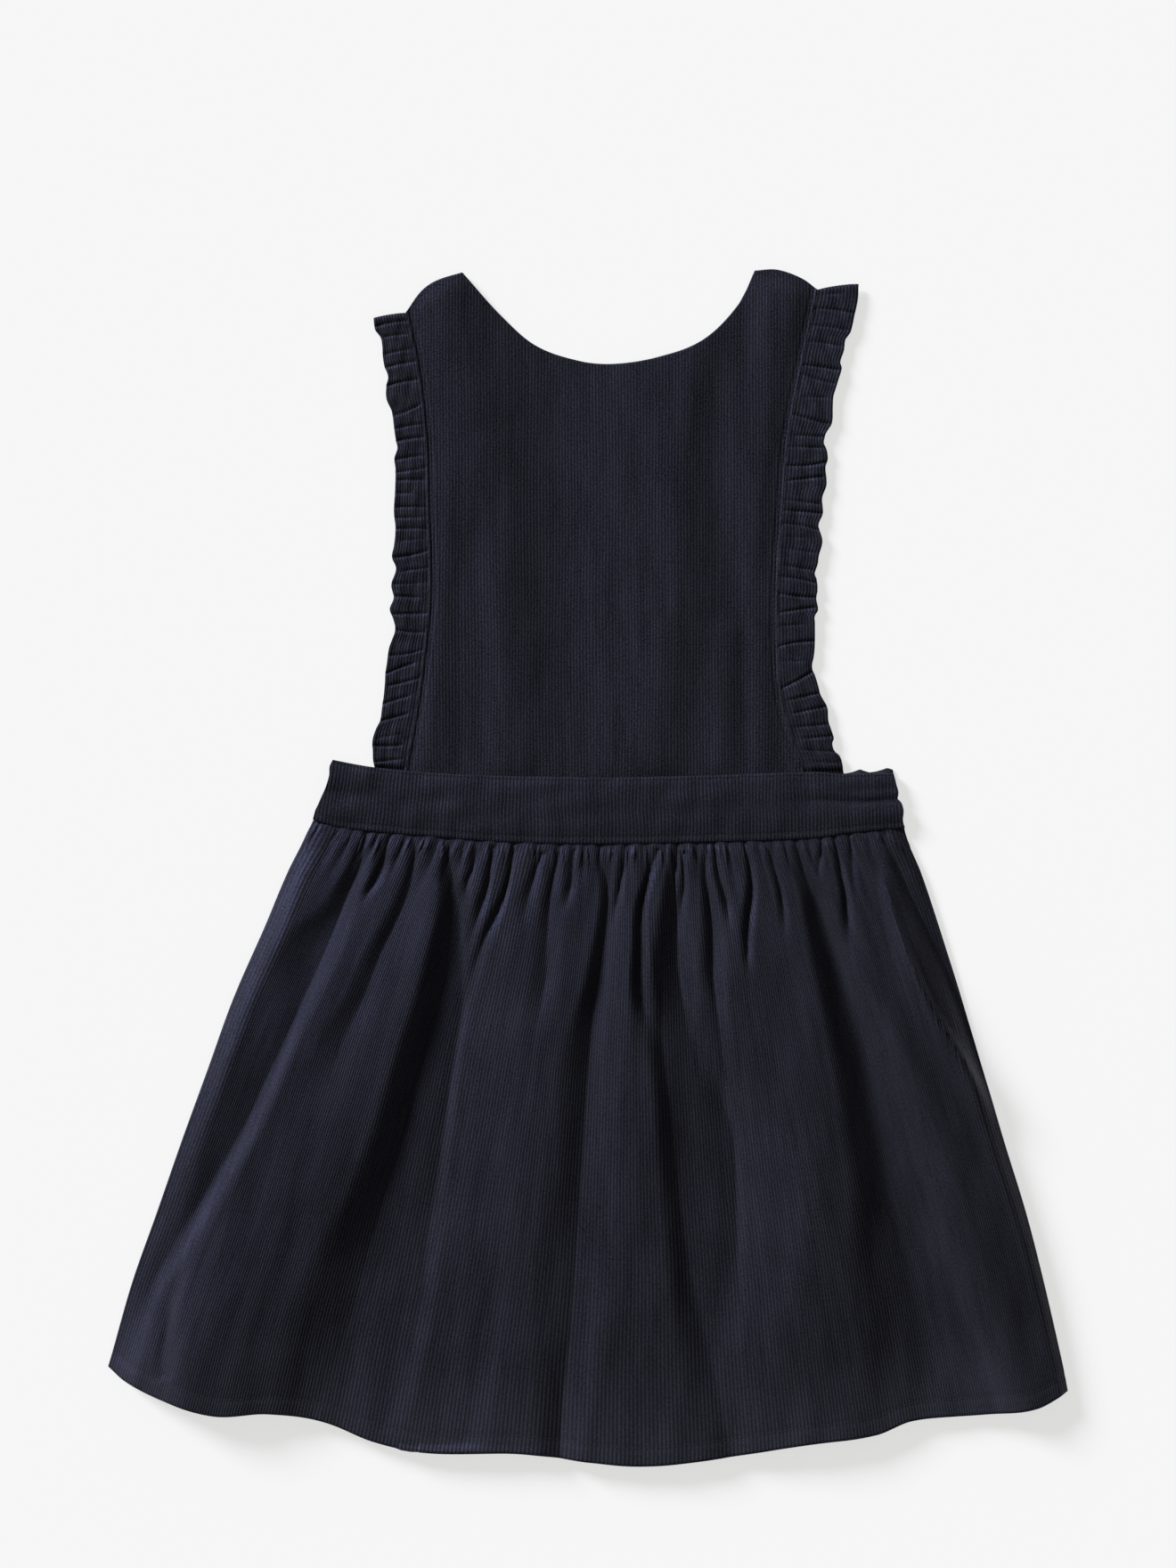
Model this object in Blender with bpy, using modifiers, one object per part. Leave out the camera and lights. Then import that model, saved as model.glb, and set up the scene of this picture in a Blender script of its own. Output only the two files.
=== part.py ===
"""A girl's pinafore dress in needlecord, laid flat on its back with the front uppermost.

Nine sewn pieces, each its own object: a scoop-necked front bodice, two back straps, a gathered
ruffle in each armhole seam, a front and a back waistband, and a gathered front and back skirt.

Run it with: blender --background --python part.py
The tables are in millimetres and the model is in metres, with +Z up and +Y towards the shoulders.
Left and right are the viewer's, looking down on the front.
"""

import bisect
import math

import bmesh
import bpy
from mathutils import Vector

MM = 0.001

# Walls and clearances, in mm.
SEAM_GAP = 0.3  # air between pieces that are sewn or lie on each other
BACK_WALL = 1.2  # back panels, pressed flat on the surface
FRONT_WALL = 1.2  # bodice, skirt front and ruffles
BAND_WALL = 2.0  # the front waistband is doubled
TUCK_IN = 1.0  # how far the back pieces lie inside the front's outline
SKIRT_TUCK_IN = 5.0  # the same at the skirt's sides, where the front turns down round the back
UPPER_LAYER = BACK_WALL + SEAM_GAP  # height at which the front pieces lie on the back ones

# The armhole seams, from the waist to the shoulders.
ARMHOLES = (
    # up, left x, right x
    (44.0, -83.0, 98.2),
    (69.5, -78.4, 90.0),
    (92.5, -75.3, 87.2),
    (123.7, -72.3, 86.8),
    (158.6, -73.1, 88.9),
    (195.8, -74.3, 92.0),
    (230.2, -78.4, 98.4),
    (262.0, -85.2, 104.9),
)
SHOULDER_ENDS = (250.9, 261.4)  # up, where the left and right armholes end

# The left shoulder, the scoop of the neck and the right shoulder.
NECK_POINTS = (-56.9, 75.9)  # x of the two corners where a shoulder meets the neck
SHOULDER_SHARE = 4 / 24  # share of the bodice's columns that run up to one shoulder
LEFT_SHOULDER = (
    # x, up
    (-82.8, 250.9),
    (-76.0, 260.5),
    (-69.1, 265.5),
    (-56.9, 269.5),
)
NECKLINE = (
    # x, up
    (-56.9, 269.5),
    (-40.3, 250.9),
    (-24.1, 236.7),
    (-3.8, 229.4),
    (12.4, 228.0),
    (32.6, 231.2),
    (52.9, 239.2),
    (69.1, 255.8),
    (75.9, 270.3),
)
RIGHT_SHOULDER = (
    # x, up
    (75.9, 270.3),
    (86.1, 270.7),
    (97.4, 266.7),
    (104.7, 261.4),
)

# The front waistband: its long edges, and how far each end leans out.
BAND_TOP = (
    # x, up
    (-116.4, 48.2),
    (-97.0, 44.6),
    (-56.5, 41.4),
    (8.3, 40.0),
    (56.9, 41.0),
    (97.4, 42.4),
    (139.7, 43.2),
)
BAND_BOTTOM = (
    # x, up
    (-124.2, 21.0),
    (-111.9, 17.2),
    (-75.5, 13.6),
    (-35.0, 10.6),
    (5.5, 9.8),
    (55.7, 10.7),
    (102.7, 12.5),
    (120.5, 14.9),
    (144.0, 17.2),
)
BAND_PILLOW = 0.8  # how far the band swells between its two rows of stitching
BAND_GROOVES = (
    # from x, to x, share of the height from the top, depth, half width as a share
    (-135.0, -56.0, 0.52, 0.7, 0.14),
    (78.0, 160.0, 0.56, 1.1, 0.12),
)
GROOVE_FADE = 18.0  # length over which a groove begins and ends
BACK_BAND_SHOWS = (102.0, 2.2)  # right of this x the back band rises this far, past the front one
SHOWS_FADE = 12.0  # length over which it rises

# The skirt's side edges and hem.
SKIRT_SIDES = (
    # up, left x, right x
    (-238.3, -221.5, 217.7),
    (-228.0, -217.7, 215.8),
    (-189.7, -206.8, 207.2),
    (-157.3, -195.4, 199.1),
    (-124.9, -184.1, 189.3),
    (-92.5, -172.3, 180.0),
    (-60.1, -160.6, 170.7),
    (-27.7, -146.4, 160.6),
    (-3.4, -136.3, 152.5),
    (10.0, -129.4, 147.0),
    (21.0, -124.2, 144.0),
)
HEM = (
    # x, up
    (-217.7, -227.4),
    (-209.6, -233.7),
    (-193.4, -241.3),
    (-169.1, -248.6),
    (-144.8, -248.0),
    (-120.5, -251.9),
    (-96.2, -261.4),
    (-71.9, -266.0),
    (-31.4, -266.3),
    (1.0, -270.3),
    (25.3, -272.0),
    (57.7, -268.9),
    (98.2, -262.2),
    (130.6, -257.8),
    (146.8, -251.7),
    (179.2, -248.8),
    (203.5, -245.6),
    (217.7, -238.3),
)
HEM_SHORT = 1.2  # how much the back skirt's hem is set in

# Crests of the gathers along the waist seam, from the band's left end, and the band's length.
GATHER_CRESTS = (
    10.0, 17.0, 23.0, 28.5, 35.0, 41.0, 48.0, 56.5, 63.0, 69.0, 75.5, 82.5, 90.0,
    101.0, 110.5, 118.0, 124.0, 130.0, 136.0, 142.5, 150.0, 158.5, 167.0, 173.5,
    181.5, 188.5, 196.0, 203.0, 208.8, 214.5, 220.0, 225.5, 231.0, 237.0, 244.0,
    251.0, 258.5, 265.5,
)
GATHER_SPAN = 273.0
GATHER_PITCH = 7.2  # a gather as wide as this, or wider, has its full height
GATHER_RISE = (
    # down from the waist seam, height of a gather
    (0.0, 1.7),
    (8.0, 3.1),
    (22.0, 2.7),
    (42.0, 1.3),
    (68.0, 0.0),
)

# How far the skirt front stands off the skirt back, before its troughs are pressed in.
PUFF = (
    # down from the waist seam, height
    (0.0, 0.6),
    (18.0, 3.4),
    (60.0, 7.4),
    (120.0, 8.6),
    (200.0, 7.2),
    (250.0, 4.6),
    (290.0, 2.4),
)
SIDE_TURN = (-4.0, 26.0)  # distances from a side edge between which the puff reaches its height
EDGE_DROP = 7.0  # width over which a side edge turns down to the surface
GATHER_EDGE = (-1.5, 1.5)  # distances from a side edge between which a gather reaches its height
ROW_BUNCHING = 0.55  # how much closer together the skirt's rows lie at the waist
SIDE_BUNCHING = 0.05  # how much closer together its columns lie at the sides of the hem
FOLD_START = 0.125  # columns lie this share of a fold to each side of its crest and its valleys

# The troughs between the large folds, each running down through three points.
TROUGHS = (
    # x and up at the waist end, x and up midway, x and up at the hem end,
    # half width on the left and on the right, depth as a share of the puff
    (-102.7, 12.0, -126.6, -48.0, -186.0, -190.0, 12.0, 9.0, 0.62),
    (-77.6, 10.0, -84.8, -21.7, -104.0, -58.0, 6.0, 5.0, 0.60),
    (-59.7, 6.0, -71.0, -90.5, -107.0, -232.0, 15.0, 10.0, 0.86),
    (-36.5, 2.0, -38.3, -8.0, -41.0, -22.0, 4.0, 4.0, 0.60),
    (8.3, 5.5, 3.6, -80.0, -13.0, -262.0, 8.0, 5.0, 0.86),
    (27.7, 3.0, 25.0, -24.0, 23.5, -58.0, 4.0, 4.0, 0.60),
    (40.7, 0.0, 36.7, -52.0, 33.4, -90.0, 5.0, 5.0, 0.55),
    (61.4, 4.0, 57.7, -92.5, 61.8, -235.0, 14.0, 9.0, 0.78),
    (75.1, 5.0, 76.4, -15.0, 75.5, -36.0, 4.0, 4.0, 0.50),
    (95.8, 2.0, 129.0, -104.7, 166.0, -232.0, 11.0, 8.0, 0.80),
    (115.2, 4.0, 117.0, -6.0, 119.0, -18.0, 3.0, 3.0, 0.50),
    (133.9, 4.0, 156.5, -58.0, 182.0, -112.0, 6.0, 6.0, 0.66),
)
TROUGH_FADE = 16.0  # length over which a trough begins and ends

# The ruffles: width across, lift of the outer edge along the seam, and the length of each puff.
RUFFLE_WIDTH = (
    # up, left, right
    (44.0, 16.8, 18.4),
    (69.5, 16.0, 18.6),
    (85.7, 15.6, 15.9),
    (118.0, 16.6, 17.4),
    (150.4, 14.8, 17.6),
    (198.0, 14.0, 17.9),
    (215.2, 15.6, 16.4),
    (231.5, 14.6, 17.0),
    (262.0, 15.6, 19.8),
)
RUFFLE_FAN = (
    # up, left, right: how much higher the outer edge lies than the seam
    (44.0, 2.6, 2.4),
    (150.0, -0.5, -0.5),
    (235.0, -2.5, -1.0),
    (262.0, -5.0, 2.0),
)
LEFT_PUFFS = (
    5.6, 11.0, 5.6, 8.5, 13.0, 6.6, 5.8, 8.2, 5.4, 5.8, 6.2, 6.8, 8.8, 5.0, 7.0,
    6.2, 6.8, 5.6, 7.2, 8.0, 10.4, 6.2, 6.8, 7.6, 8.2, 12.8, 7.4,
)
RIGHT_PUFFS = (
    6.0, 6.8, 6.2, 12.8, 7.6, 14.8, 7.6, 5.4, 7.4, 6.4, 10.0, 6.2, 6.0, 9.6, 7.6,
    6.4, 7.0, 6.8, 6.4, 8.6, 7.6, 7.8, 10.0, 5.8, 6.2, 6.0, 5.4, 6.4,
)
PUFF_PITCH = 6.5  # length of a puff that has its plain height
PUFF_MOST = 1.2  # most that a longer puff gains
PUFF_SEAM_HEIGHT = 0.7  # height of a puff where it is sewn in
PUFF_EDGE_HEIGHT = 3.4  # height of a puff at the free edge
PUFF_SWELL = 0.8  # power by which a puff grows across the ruffle
RUFFLE_SEAM_LEVEL = UPPER_LAYER + FRONT_WALL / 2
RUFFLE_EDGE_LEVEL = 1.4
CREASE_PULL = 0.06  # share of its width that a ruffle loses at a crease
RUFFLE_INSET = 0.5  # seam gap of a ruffle, with room for its tilted edge

# The back straps: x of the inner edge at the waist, for the left and the right one.
STRAP_WAIST_X = (-44.0, 58.0)
STRAP_LIFT_FROM = 8.0  # the bodice lies level this far beyond a strap's inner edge
STRAP_LIFT_TO = 20.0  # and rests on the surface this far beyond it
WAIST_LIFT = 14.0  # the bodice rises to the waistband over this height
WAIST_LEVEL = 2.0  # and is fully up this near to it
BODICE_CROWN = 0.9  # soft upright swelling in the middle of the bodice
CROWN_WIDTH = 26.0
CROWN_FADE = 0.2  # share of the bodice's height over which the swelling begins

NAVY = (0.016, 0.017, 0.026)
NAVY_LIT = (0.018, 0.020, 0.031)


def through(rows, at, column=1):
    """Value of a table's column at a place in its first column, on a smooth curve."""
    knots = [row[0] for row in rows]
    values = [row[column] for row in rows]
    last = len(rows) - 1
    k = min(max(bisect.bisect_right(knots, at) - 1, 0), last - 1)

    def slope(i):
        low, high = max(i - 1, 0), min(i + 1, last)
        return (values[high] - values[low]) / (knots[high] - knots[low])

    span = knots[k + 1] - knots[k]
    t = (at - knots[k]) / span
    rise = values[k + 1] - values[k]
    if t < 0.0 or t > 1.0:
        end = k if t < 0.0 else k + 1
        return values[end] + slope(end) * (at - knots[end])
    bend_in = slope(k) * span - rise
    bend_out = rise - slope(k + 1) * span
    return values[k] + t * rise + t * (1 - t) * ((1 - t) * bend_in + t * bend_out)


def mix(low, high, share):
    return low + (high - low) * share


def ease(low, high, value):
    """0 below low, 1 above high and smooth between."""
    t = min(max((value - low) / (high - low), 0.0), 1.0)
    return t * t * (3 - 2 * t)


def patch(top, bottom, left, right):
    """The flat place of (u, v) between four edge curves that meet at their corners."""
    corners = top(0.0), top(1.0), bottom(0.0), bottom(1.0)

    def place(u, v):
        across = mix(top(u), bottom(u), v)
        down = mix(left(v), right(v), u)
        flat = mix(mix(corners[0], corners[1], u), mix(corners[2], corners[3], u), v)
        return across + down - flat

    return place


def edge_along(x_from, x_to, rows, drop=0.0, spread=None):
    """An edge that runs from one x to another along a table of (x, up)."""

    def point(u):
        share = spread(u) if spread else u
        x = mix(x_from, x_to, share)
        return Vector((x, through(rows, x) - drop))

    return point


def edge_down(up_from, up_to, rows, column, inset=0.0):
    """An edge that runs from one height to another down a column of a table of (up, x, x)."""

    def point(v):
        up = mix(up_from, up_to, v)
        return Vector((through(rows, up, column) + inset, up))

    return point


def straight(start, end):
    return lambda share: mix(start, end, share)


# ---- the back: flat pieces side by side on the surface ----


def flat_back(outline):
    """Lays a patch on the surface, with its wall's middle half a wall up."""
    return lambda u, v: (*outline(u, v), BACK_WALL / 2)


def strap_outline(side):
    """A back strap, from inside the shoulder seam to the back waistband."""
    outward = -1.0 if side == 0 else 1.0
    shoulder = LEFT_SHOULDER if side == 0 else RIGHT_SHOULDER
    neck_x = NECK_POINTS[side]
    armhole_x = LEFT_SHOULDER[0][0] if side == 0 else RIGHT_SHOULDER[-1][0]
    waist_x = ARMHOLES[0][1 + side] - outward * TUCK_IN
    x_from, x_to = sorted((armhole_x - outward * TUCK_IN, neck_x + outward * TUCK_IN))
    low_from, low_to = sorted((waist_x, STRAP_WAIST_X[side]))
    top = edge_along(x_from, x_to, shoulder, drop=2 * TUCK_IN)
    bottom = edge_along(low_from, low_to, BAND_TOP, drop=TUCK_IN - SEAM_GAP)

    def outer(corner_up, corner_low):
        armhole = edge_down(corner_up.y, corner_low.y, ARMHOLES, 1 + side)
        return lambda v: armhole(v) + mix(corner_up - armhole(0.0), corner_low - armhole(1.0), v)

    left, right = straight(top(0.0), bottom(0.0)), straight(top(1.0), bottom(1.0))
    if side == 0:
        left = outer(top(0.0), bottom(0.0))
    else:
        right = outer(top(1.0), bottom(1.0))
    return patch(top, bottom, left, right)


def back_band_outline():
    """The elastic band at the back, which shows just above the front band at the right."""
    x_from, x_to = BAND_TOP[0][0] + TUCK_IN, BAND_TOP[-1][0] - TUCK_IN
    low_from, low_to = BAND_BOTTOM[0][0] + TUCK_IN, BAND_BOTTOM[-1][0] - TUCK_IN
    shows_from, shows_by = BACK_BAND_SHOWS

    def top(u):
        x = mix(x_from, x_to, u)
        shows = shows_by * ease(shows_from, shows_from + SHOWS_FADE, x)
        return Vector((x, through(BAND_TOP, x) - TUCK_IN + shows))

    bottom = edge_along(low_from, low_to, BAND_BOTTOM, drop=-TUCK_IN)
    return patch(top, bottom, straight(top(0.0), bottom(0.0)), straight(top(1.0), bottom(1.0)))


def back_skirt_outline():
    """The skirt back, a little inside the front at the sides and at the hem."""
    low_from, low_to = BAND_BOTTOM[0][0] + SKIRT_TUCK_IN, BAND_BOTTOM[-1][0] - SKIRT_TUCK_IN
    top = edge_along(low_from, low_to, BAND_BOTTOM, drop=SEAM_GAP - TUCK_IN)
    bottom = edge_along(
        HEM[0][0] + SKIRT_TUCK_IN, HEM[-1][0] - SKIRT_TUCK_IN, HEM, drop=-HEM_SHORT
    )
    left = edge_down(top(0.0).y, bottom(0.0).y, SKIRT_SIDES, 1, inset=SKIRT_TUCK_IN)
    right = edge_down(top(1.0).y, bottom(1.0).y, SKIRT_SIDES, 2, inset=-SKIRT_TUCK_IN)

    def meet(side, from_corner, to_corner):
        """The side edge, moved to end on the corners of the top and the hem."""
        return lambda v: side(v) + mix(from_corner - side(0.0), to_corner - side(1.0), v)

    return patch(
        top,
        bottom,
        meet(left, top(0.0), bottom(0.0)),
        meet(right, top(1.0), bottom(1.0)),
    )


# ---- the bodice ----


def strap_inner_x(side, up):
    """x of a back strap's inner edge at a height."""
    shoulder = LEFT_SHOULDER if side == 0 else RIGHT_SHOULDER
    top_up = through(shoulder, NECK_POINTS[side])
    waist_up = through(BAND_TOP, STRAP_WAIST_X[side])
    return mix(STRAP_WAIST_X[side], NECK_POINTS[side], (up - waist_up) / (top_up - waist_up))


def bodice():
    """The front bodice: over the straps at its sides and down on the surface between them."""
    corners = (0.0, SHOULDER_SHARE, 1 - SHOULDER_SHARE, 1.0)
    corner_x = (LEFT_SHOULDER[0][0], *NECK_POINTS, RIGHT_SHOULDER[-1][0])

    def top(u):
        span = 0 if u < corners[1] else 1 if u < corners[2] else 2
        share = (u - corners[span]) / (corners[span + 1] - corners[span])
        x = mix(corner_x[span], corner_x[span + 1], share)
        return Vector((x, through((LEFT_SHOULDER, NECKLINE, RIGHT_SHOULDER)[span], x)))

    waist_left, waist_right = ARMHOLES[0][1:]
    bottom = edge_along(waist_left, waist_right, BAND_TOP, drop=-SEAM_GAP)
    left = edge_down(top(0.0).y, bottom(0.0).y, ARMHOLES, 1)
    right = edge_down(top(1.0).y, bottom(1.0).y, ARMHOLES, 2)
    outline = patch(
        top,
        bottom,
        lambda v: left(v) + mix(top(0.0) - left(0.0), bottom(0.0) - left(1.0), v),
        lambda v: right(v) + mix(top(1.0) - right(0.0), bottom(1.0) - right(1.0), v),
    )

    def place(u, v):
        x, y = outline(u, v)
        beyond_left = x - strap_inner_x(0, y)
        beyond_right = strap_inner_x(1, y) - x
        on_strap = max(
            1 - ease(STRAP_LIFT_FROM, STRAP_LIFT_TO, beyond_left),
            1 - ease(STRAP_LIFT_FROM, STRAP_LIFT_TO, beyond_right),
        )
        at_waist = 1 - ease(WAIST_LEVEL, WAIST_LIFT, y - through(BAND_TOP, x))
        lift = UPPER_LAYER * max(on_strap, at_waist)
        middle = mix(strap_inner_x(0, y), strap_inner_x(1, y), 0.5)
        crown = BODICE_CROWN * math.exp(-(((x - middle) / CROWN_WIDTH) ** 2))
        return x, y, FRONT_WALL / 2 + lift + crown * ease(0.0, CROWN_FADE, v)

    return place


# ---- the front waistband ----


def front_band():
    """The doubled band: swollen between its stitching, with a soft groove at each end."""
    top = edge_along(BAND_TOP[0][0], BAND_TOP[-1][0], BAND_TOP)
    bottom = edge_along(BAND_BOTTOM[0][0], BAND_BOTTOM[-1][0], BAND_BOTTOM)
    outline = patch(top, bottom, straight(top(0.0), bottom(0.0)), straight(top(1.0), bottom(1.0)))

    def place(u, v):
        x, y = outline(u, v)
        height = UPPER_LAYER + BAND_WALL / 2 + BAND_PILLOW * math.sin(math.pi * v)
        for x_from, x_to, share, depth, half_width in BAND_GROOVES:
            along = ease(x_from, x_from + GROOVE_FADE, x) * (1 - ease(x_to - GROOVE_FADE, x_to, x))
            height -= depth * along * math.exp(-(((v - share) / half_width) ** 2))
        return x, y, max(height, UPPER_LAYER + BAND_WALL / 2)

    return place


# ---- the skirt front ----


def gather_bounds():
    """Valleys between the gathers as shares of the band's length, with both ends."""
    valleys = [mix(a, b, 0.5) for a, b in zip(GATHER_CRESTS, GATHER_CRESTS[1:])]
    return [0.0] + [valley / GATHER_SPAN for valley in valleys] + [1.0]


def spaced(bounds, phase):
    """Where a phase, counted in folds, falls between the folds' uneven bounds."""
    fold = min(int(phase), len(bounds) - 2)
    return mix(bounds[fold], bounds[fold + 1], min(phase - fold, 1.0))


def trough_share(trough, x, y):
    """How far a trough presses the cloth down at a place, from 0 to 1."""
    x_top, y_top, x_mid, y_mid, x_end, y_end, left_width, right_width, depth = trough
    if y > y_top + TROUGH_FADE or y < y_end - TROUGH_FADE:
        return 0.0
    t = (y_top - y) / (y_top - y_end)
    t_mid = (y_top - y_mid) / (y_top - y_end)
    bend = (x_mid - mix(x_top, x_end, t_mid)) / (t_mid * (1 - t_mid))
    line_x = mix(x_top, x_end, t) + bend * t * (1 - t)
    width = left_width if x < line_x else right_width
    along = ease(y_end - TROUGH_FADE, y_end + TROUGH_FADE, y)
    return depth * along * math.exp(-(((x - line_x) / width) ** 2))


def skirt_front():
    """The gathered skirt front: puffed up between its troughs, turned down at the sides."""
    gathers = len(GATHER_CRESTS)
    bounds = gather_bounds()

    def phase(u):
        return mix(FOLD_START, gathers, u)

    def waist_share(u):
        start = spaced(bounds, phase(0.0))
        return (spaced(bounds, phase(u)) - start) / (1 - start)

    def hem_share(u):
        return u - SIDE_BUNCHING * math.sin(2 * math.pi * u)

    top = edge_along(
        BAND_BOTTOM[0][0], BAND_BOTTOM[-1][0], BAND_BOTTOM, drop=SEAM_GAP, spread=waist_share
    )
    bottom = edge_along(HEM[0][0], HEM[-1][0], HEM, spread=hem_share)
    left = edge_down(top(0.0).y, bottom(0.0).y, SKIRT_SIDES, 1)
    right = edge_down(top(1.0).y, bottom(1.0).y, SKIRT_SIDES, 2)
    outline = patch(
        top,
        bottom,
        lambda v: left(v) + mix(top(0.0) - left(0.0), bottom(0.0) - left(1.0), v),
        lambda v: right(v) + mix(top(1.0) - right(0.0), bottom(1.0) - right(1.0), v),
    )

    def place(u, row):
        v = row * mix(1 - ROW_BUNCHING, 1, row)
        x, y = outline(u, v)
        down = through(BAND_BOTTOM, x) - SEAM_GAP - y
        from_side = min(x - outline(0.0, v)[0], outline(1.0, v)[0] - x)
        puff = max(through(PUFF, down), 0.0) * ease(*SIDE_TURN, from_side)
        for trough in TROUGHS:
            puff *= 1 - trough_share(trough, x, y)
        fold = min(int(phase(u)), gathers - 1)
        pitch = (bounds[fold + 1] - bounds[fold]) * GATHER_SPAN
        rise = max(through(GATHER_RISE, down), 0.0) if down < GATHER_RISE[-1][0] else 0.0
        crest = 0.5 - 0.5 * math.cos(2 * math.pi * phase(u))
        gather = rise * min(pitch / GATHER_PITCH, 1.0) * crest
        level = UPPER_LAYER + FRONT_WALL / 2
        drop = (level - FRONT_WALL) * (1 - ease(0.0, EDGE_DROP, from_side))
        return x, y, level - drop + puff + gather * ease(*GATHER_EDGE, from_side)

    return place


# ---- the ruffles ----


def ruffle(side):
    """A gathered strip that stands off its armhole seam in puffs, highest at its free edge."""
    outward = -1.0 if side == 0 else 1.0
    puffs = LEFT_PUFFS if side == 0 else RIGHT_PUFFS
    waist_x = ARMHOLES[0][1 + side]
    up_from = SHOULDER_ENDS[side]
    up_to = through(BAND_TOP, waist_x) + SEAM_GAP
    scale = (up_from - up_to) / sum(puffs)
    bounds = [0.0]
    for length in puffs:
        bounds.append(bounds[-1] + length * scale)

    def place(u, v):
        share = u if side == 0 else 1 - u
        phase = mix(FOLD_START, len(puffs) - FOLD_START, share)
        start = spaced(bounds, FOLD_START)
        span = spaced(bounds, len(puffs) - FOLD_START) - start
        up = up_from - (spaced(bounds, phase) - start) / span * (up_from - up_to)
        fold = min(int(phase), len(puffs) - 1)
        crest = 0.5 - 0.5 * math.cos(2 * math.pi * phase)
        fullness = min((bounds[fold + 1] - bounds[fold]) / PUFF_PITCH, PUFF_MOST)
        width = through(RUFFLE_WIDTH, up, 1 + side) * (1 - CREASE_PULL * (1 - crest) * v)
        x = through(ARMHOLES, up, 1 + side) + outward * (RUFFLE_INSET + width * v)
        y = up + through(RUFFLE_FAN, up, 1 + side) * v
        level = mix(RUFFLE_SEAM_LEVEL, RUFFLE_EDGE_LEVEL, v)
        return x, y, level + fullness * crest * mix(PUFF_SEAM_HEIGHT, PUFF_EDGE_HEIGHT, v**PUFF_SWELL)

    return place


# ---- making the objects ----


def needlecord(name, colour):
    material = bpy.data.materials.new(name)
    material.use_nodes = True
    shader = material.node_tree.nodes["Principled BSDF"]
    shader.inputs["Base Color"].default_value = (*colour, 1.0)
    shader.inputs["Roughness"].default_value = 0.92
    shader.inputs["Metallic"].default_value = 0.0
    return material


def cloth(collection, name, columns, rows, place, wall, colour, split_rows=0):
    """One piece: a grid over (u, v) put in place, with its first rows split finer, and a wall."""
    grid = bmesh.new()
    bmesh.ops.create_grid(grid, x_segments=columns, y_segments=rows, size=0.5)
    if split_rows:
        limit = 0.5 - (split_rows + 0.5) / rows
        across = [
            edge
            for edge in grid.edges
            if abs(edge.verts[0].co.y - edge.verts[1].co.y) < 1e-6 and edge.verts[0].co.y > limit
        ]
        bmesh.ops.subdivide_edges(grid, edges=across, cuts=1)
    for vertex in grid.verts:
        vertex.co = Vector(place(vertex.co.x + 0.5, 0.5 - vertex.co.y)) * MM
    mesh = bpy.data.meshes.new(name)
    grid.to_mesh(mesh)
    grid.free()
    mesh.materials.append(needlecord(name + "_cord", colour))
    piece = bpy.data.objects.new(name, mesh)
    collection.objects.link(piece)
    solidify = piece.modifiers.new("wall", "SOLIDIFY")
    solidify.thickness = wall * MM
    solidify.offset = 0.0
    return piece


def stand_on_origin(pieces):
    """Moves the pieces so that the middle of their box's bottom is the origin."""
    bpy.context.view_layer.update()
    depsgraph = bpy.context.evaluated_depsgraph_get()
    points = []
    for piece in pieces:
        evaluated = piece.evaluated_get(depsgraph)
        points += [evaluated.matrix_world @ Vector(corner) for corner in evaluated.bound_box]
    low = Vector(min(point[k] for point in points) for k in range(3))
    high = Vector(max(point[k] for point in points) for k in range(3))
    for piece in pieces:
        piece.location -= Vector(((low.x + high.x) / 2, (low.y + high.y) / 2, low.z))


def main():
    for item in list(bpy.data.objects):
        bpy.data.objects.remove(item, do_unlink=True)
    dress = bpy.data.collections.new("pinafore_dress")
    bpy.context.scene.collection.children.link(dress)

    gathers = len(GATHER_CRESTS)
    pieces = [
        cloth(dress, "bodice_front", 24, 16, bodice(), FRONT_WALL, NAVY),
        cloth(dress, "waistband_front", 32, 6, front_band(), BAND_WALL, NAVY),
        cloth(dress, "skirt_front", 2 * gathers, 18, skirt_front(), FRONT_WALL, NAVY_LIT, 6),
        cloth(dress, "waistband_back", 28, 2, flat_back(back_band_outline()), BACK_WALL, NAVY),
        cloth(dress, "skirt_back", 30, 10, flat_back(back_skirt_outline()), BACK_WALL, NAVY_LIT),
    ]
    for side, word in enumerate(("left", "right")):
        puffs = LEFT_PUFFS if side == 0 else RIGHT_PUFFS
        pieces.append(
            cloth(
                dress,
                "ruffle_" + word,
                4 * len(puffs) - 1,
                3,
                ruffle(side),
                FRONT_WALL,
                NAVY,
            )
        )
        pieces.append(
            cloth(
                dress,
                "strap_back_" + word,
                4,
                12,
                flat_back(strap_outline(side)),
                BACK_WALL,
                NAVY,
            )
        )
    stand_on_origin(pieces)


main()
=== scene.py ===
"""Looks of a girl's navy needlecord pinafore dress, laid flat with its front uppermost.

Every piece of cloth is a thin closed shell with the cord's ribs on its right side. Its shape is
worked out in millimetres on a grid of two parameters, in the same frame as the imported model:
+X to the viewer's right, +Y towards the shoulders, +Z off the surface. The gathers, puffs and
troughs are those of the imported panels, with the finer form that cloth has between them.
"""

import logging
import math
from collections.abc import Callable, Sequence
from dataclasses import dataclass
from enum import Enum

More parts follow.
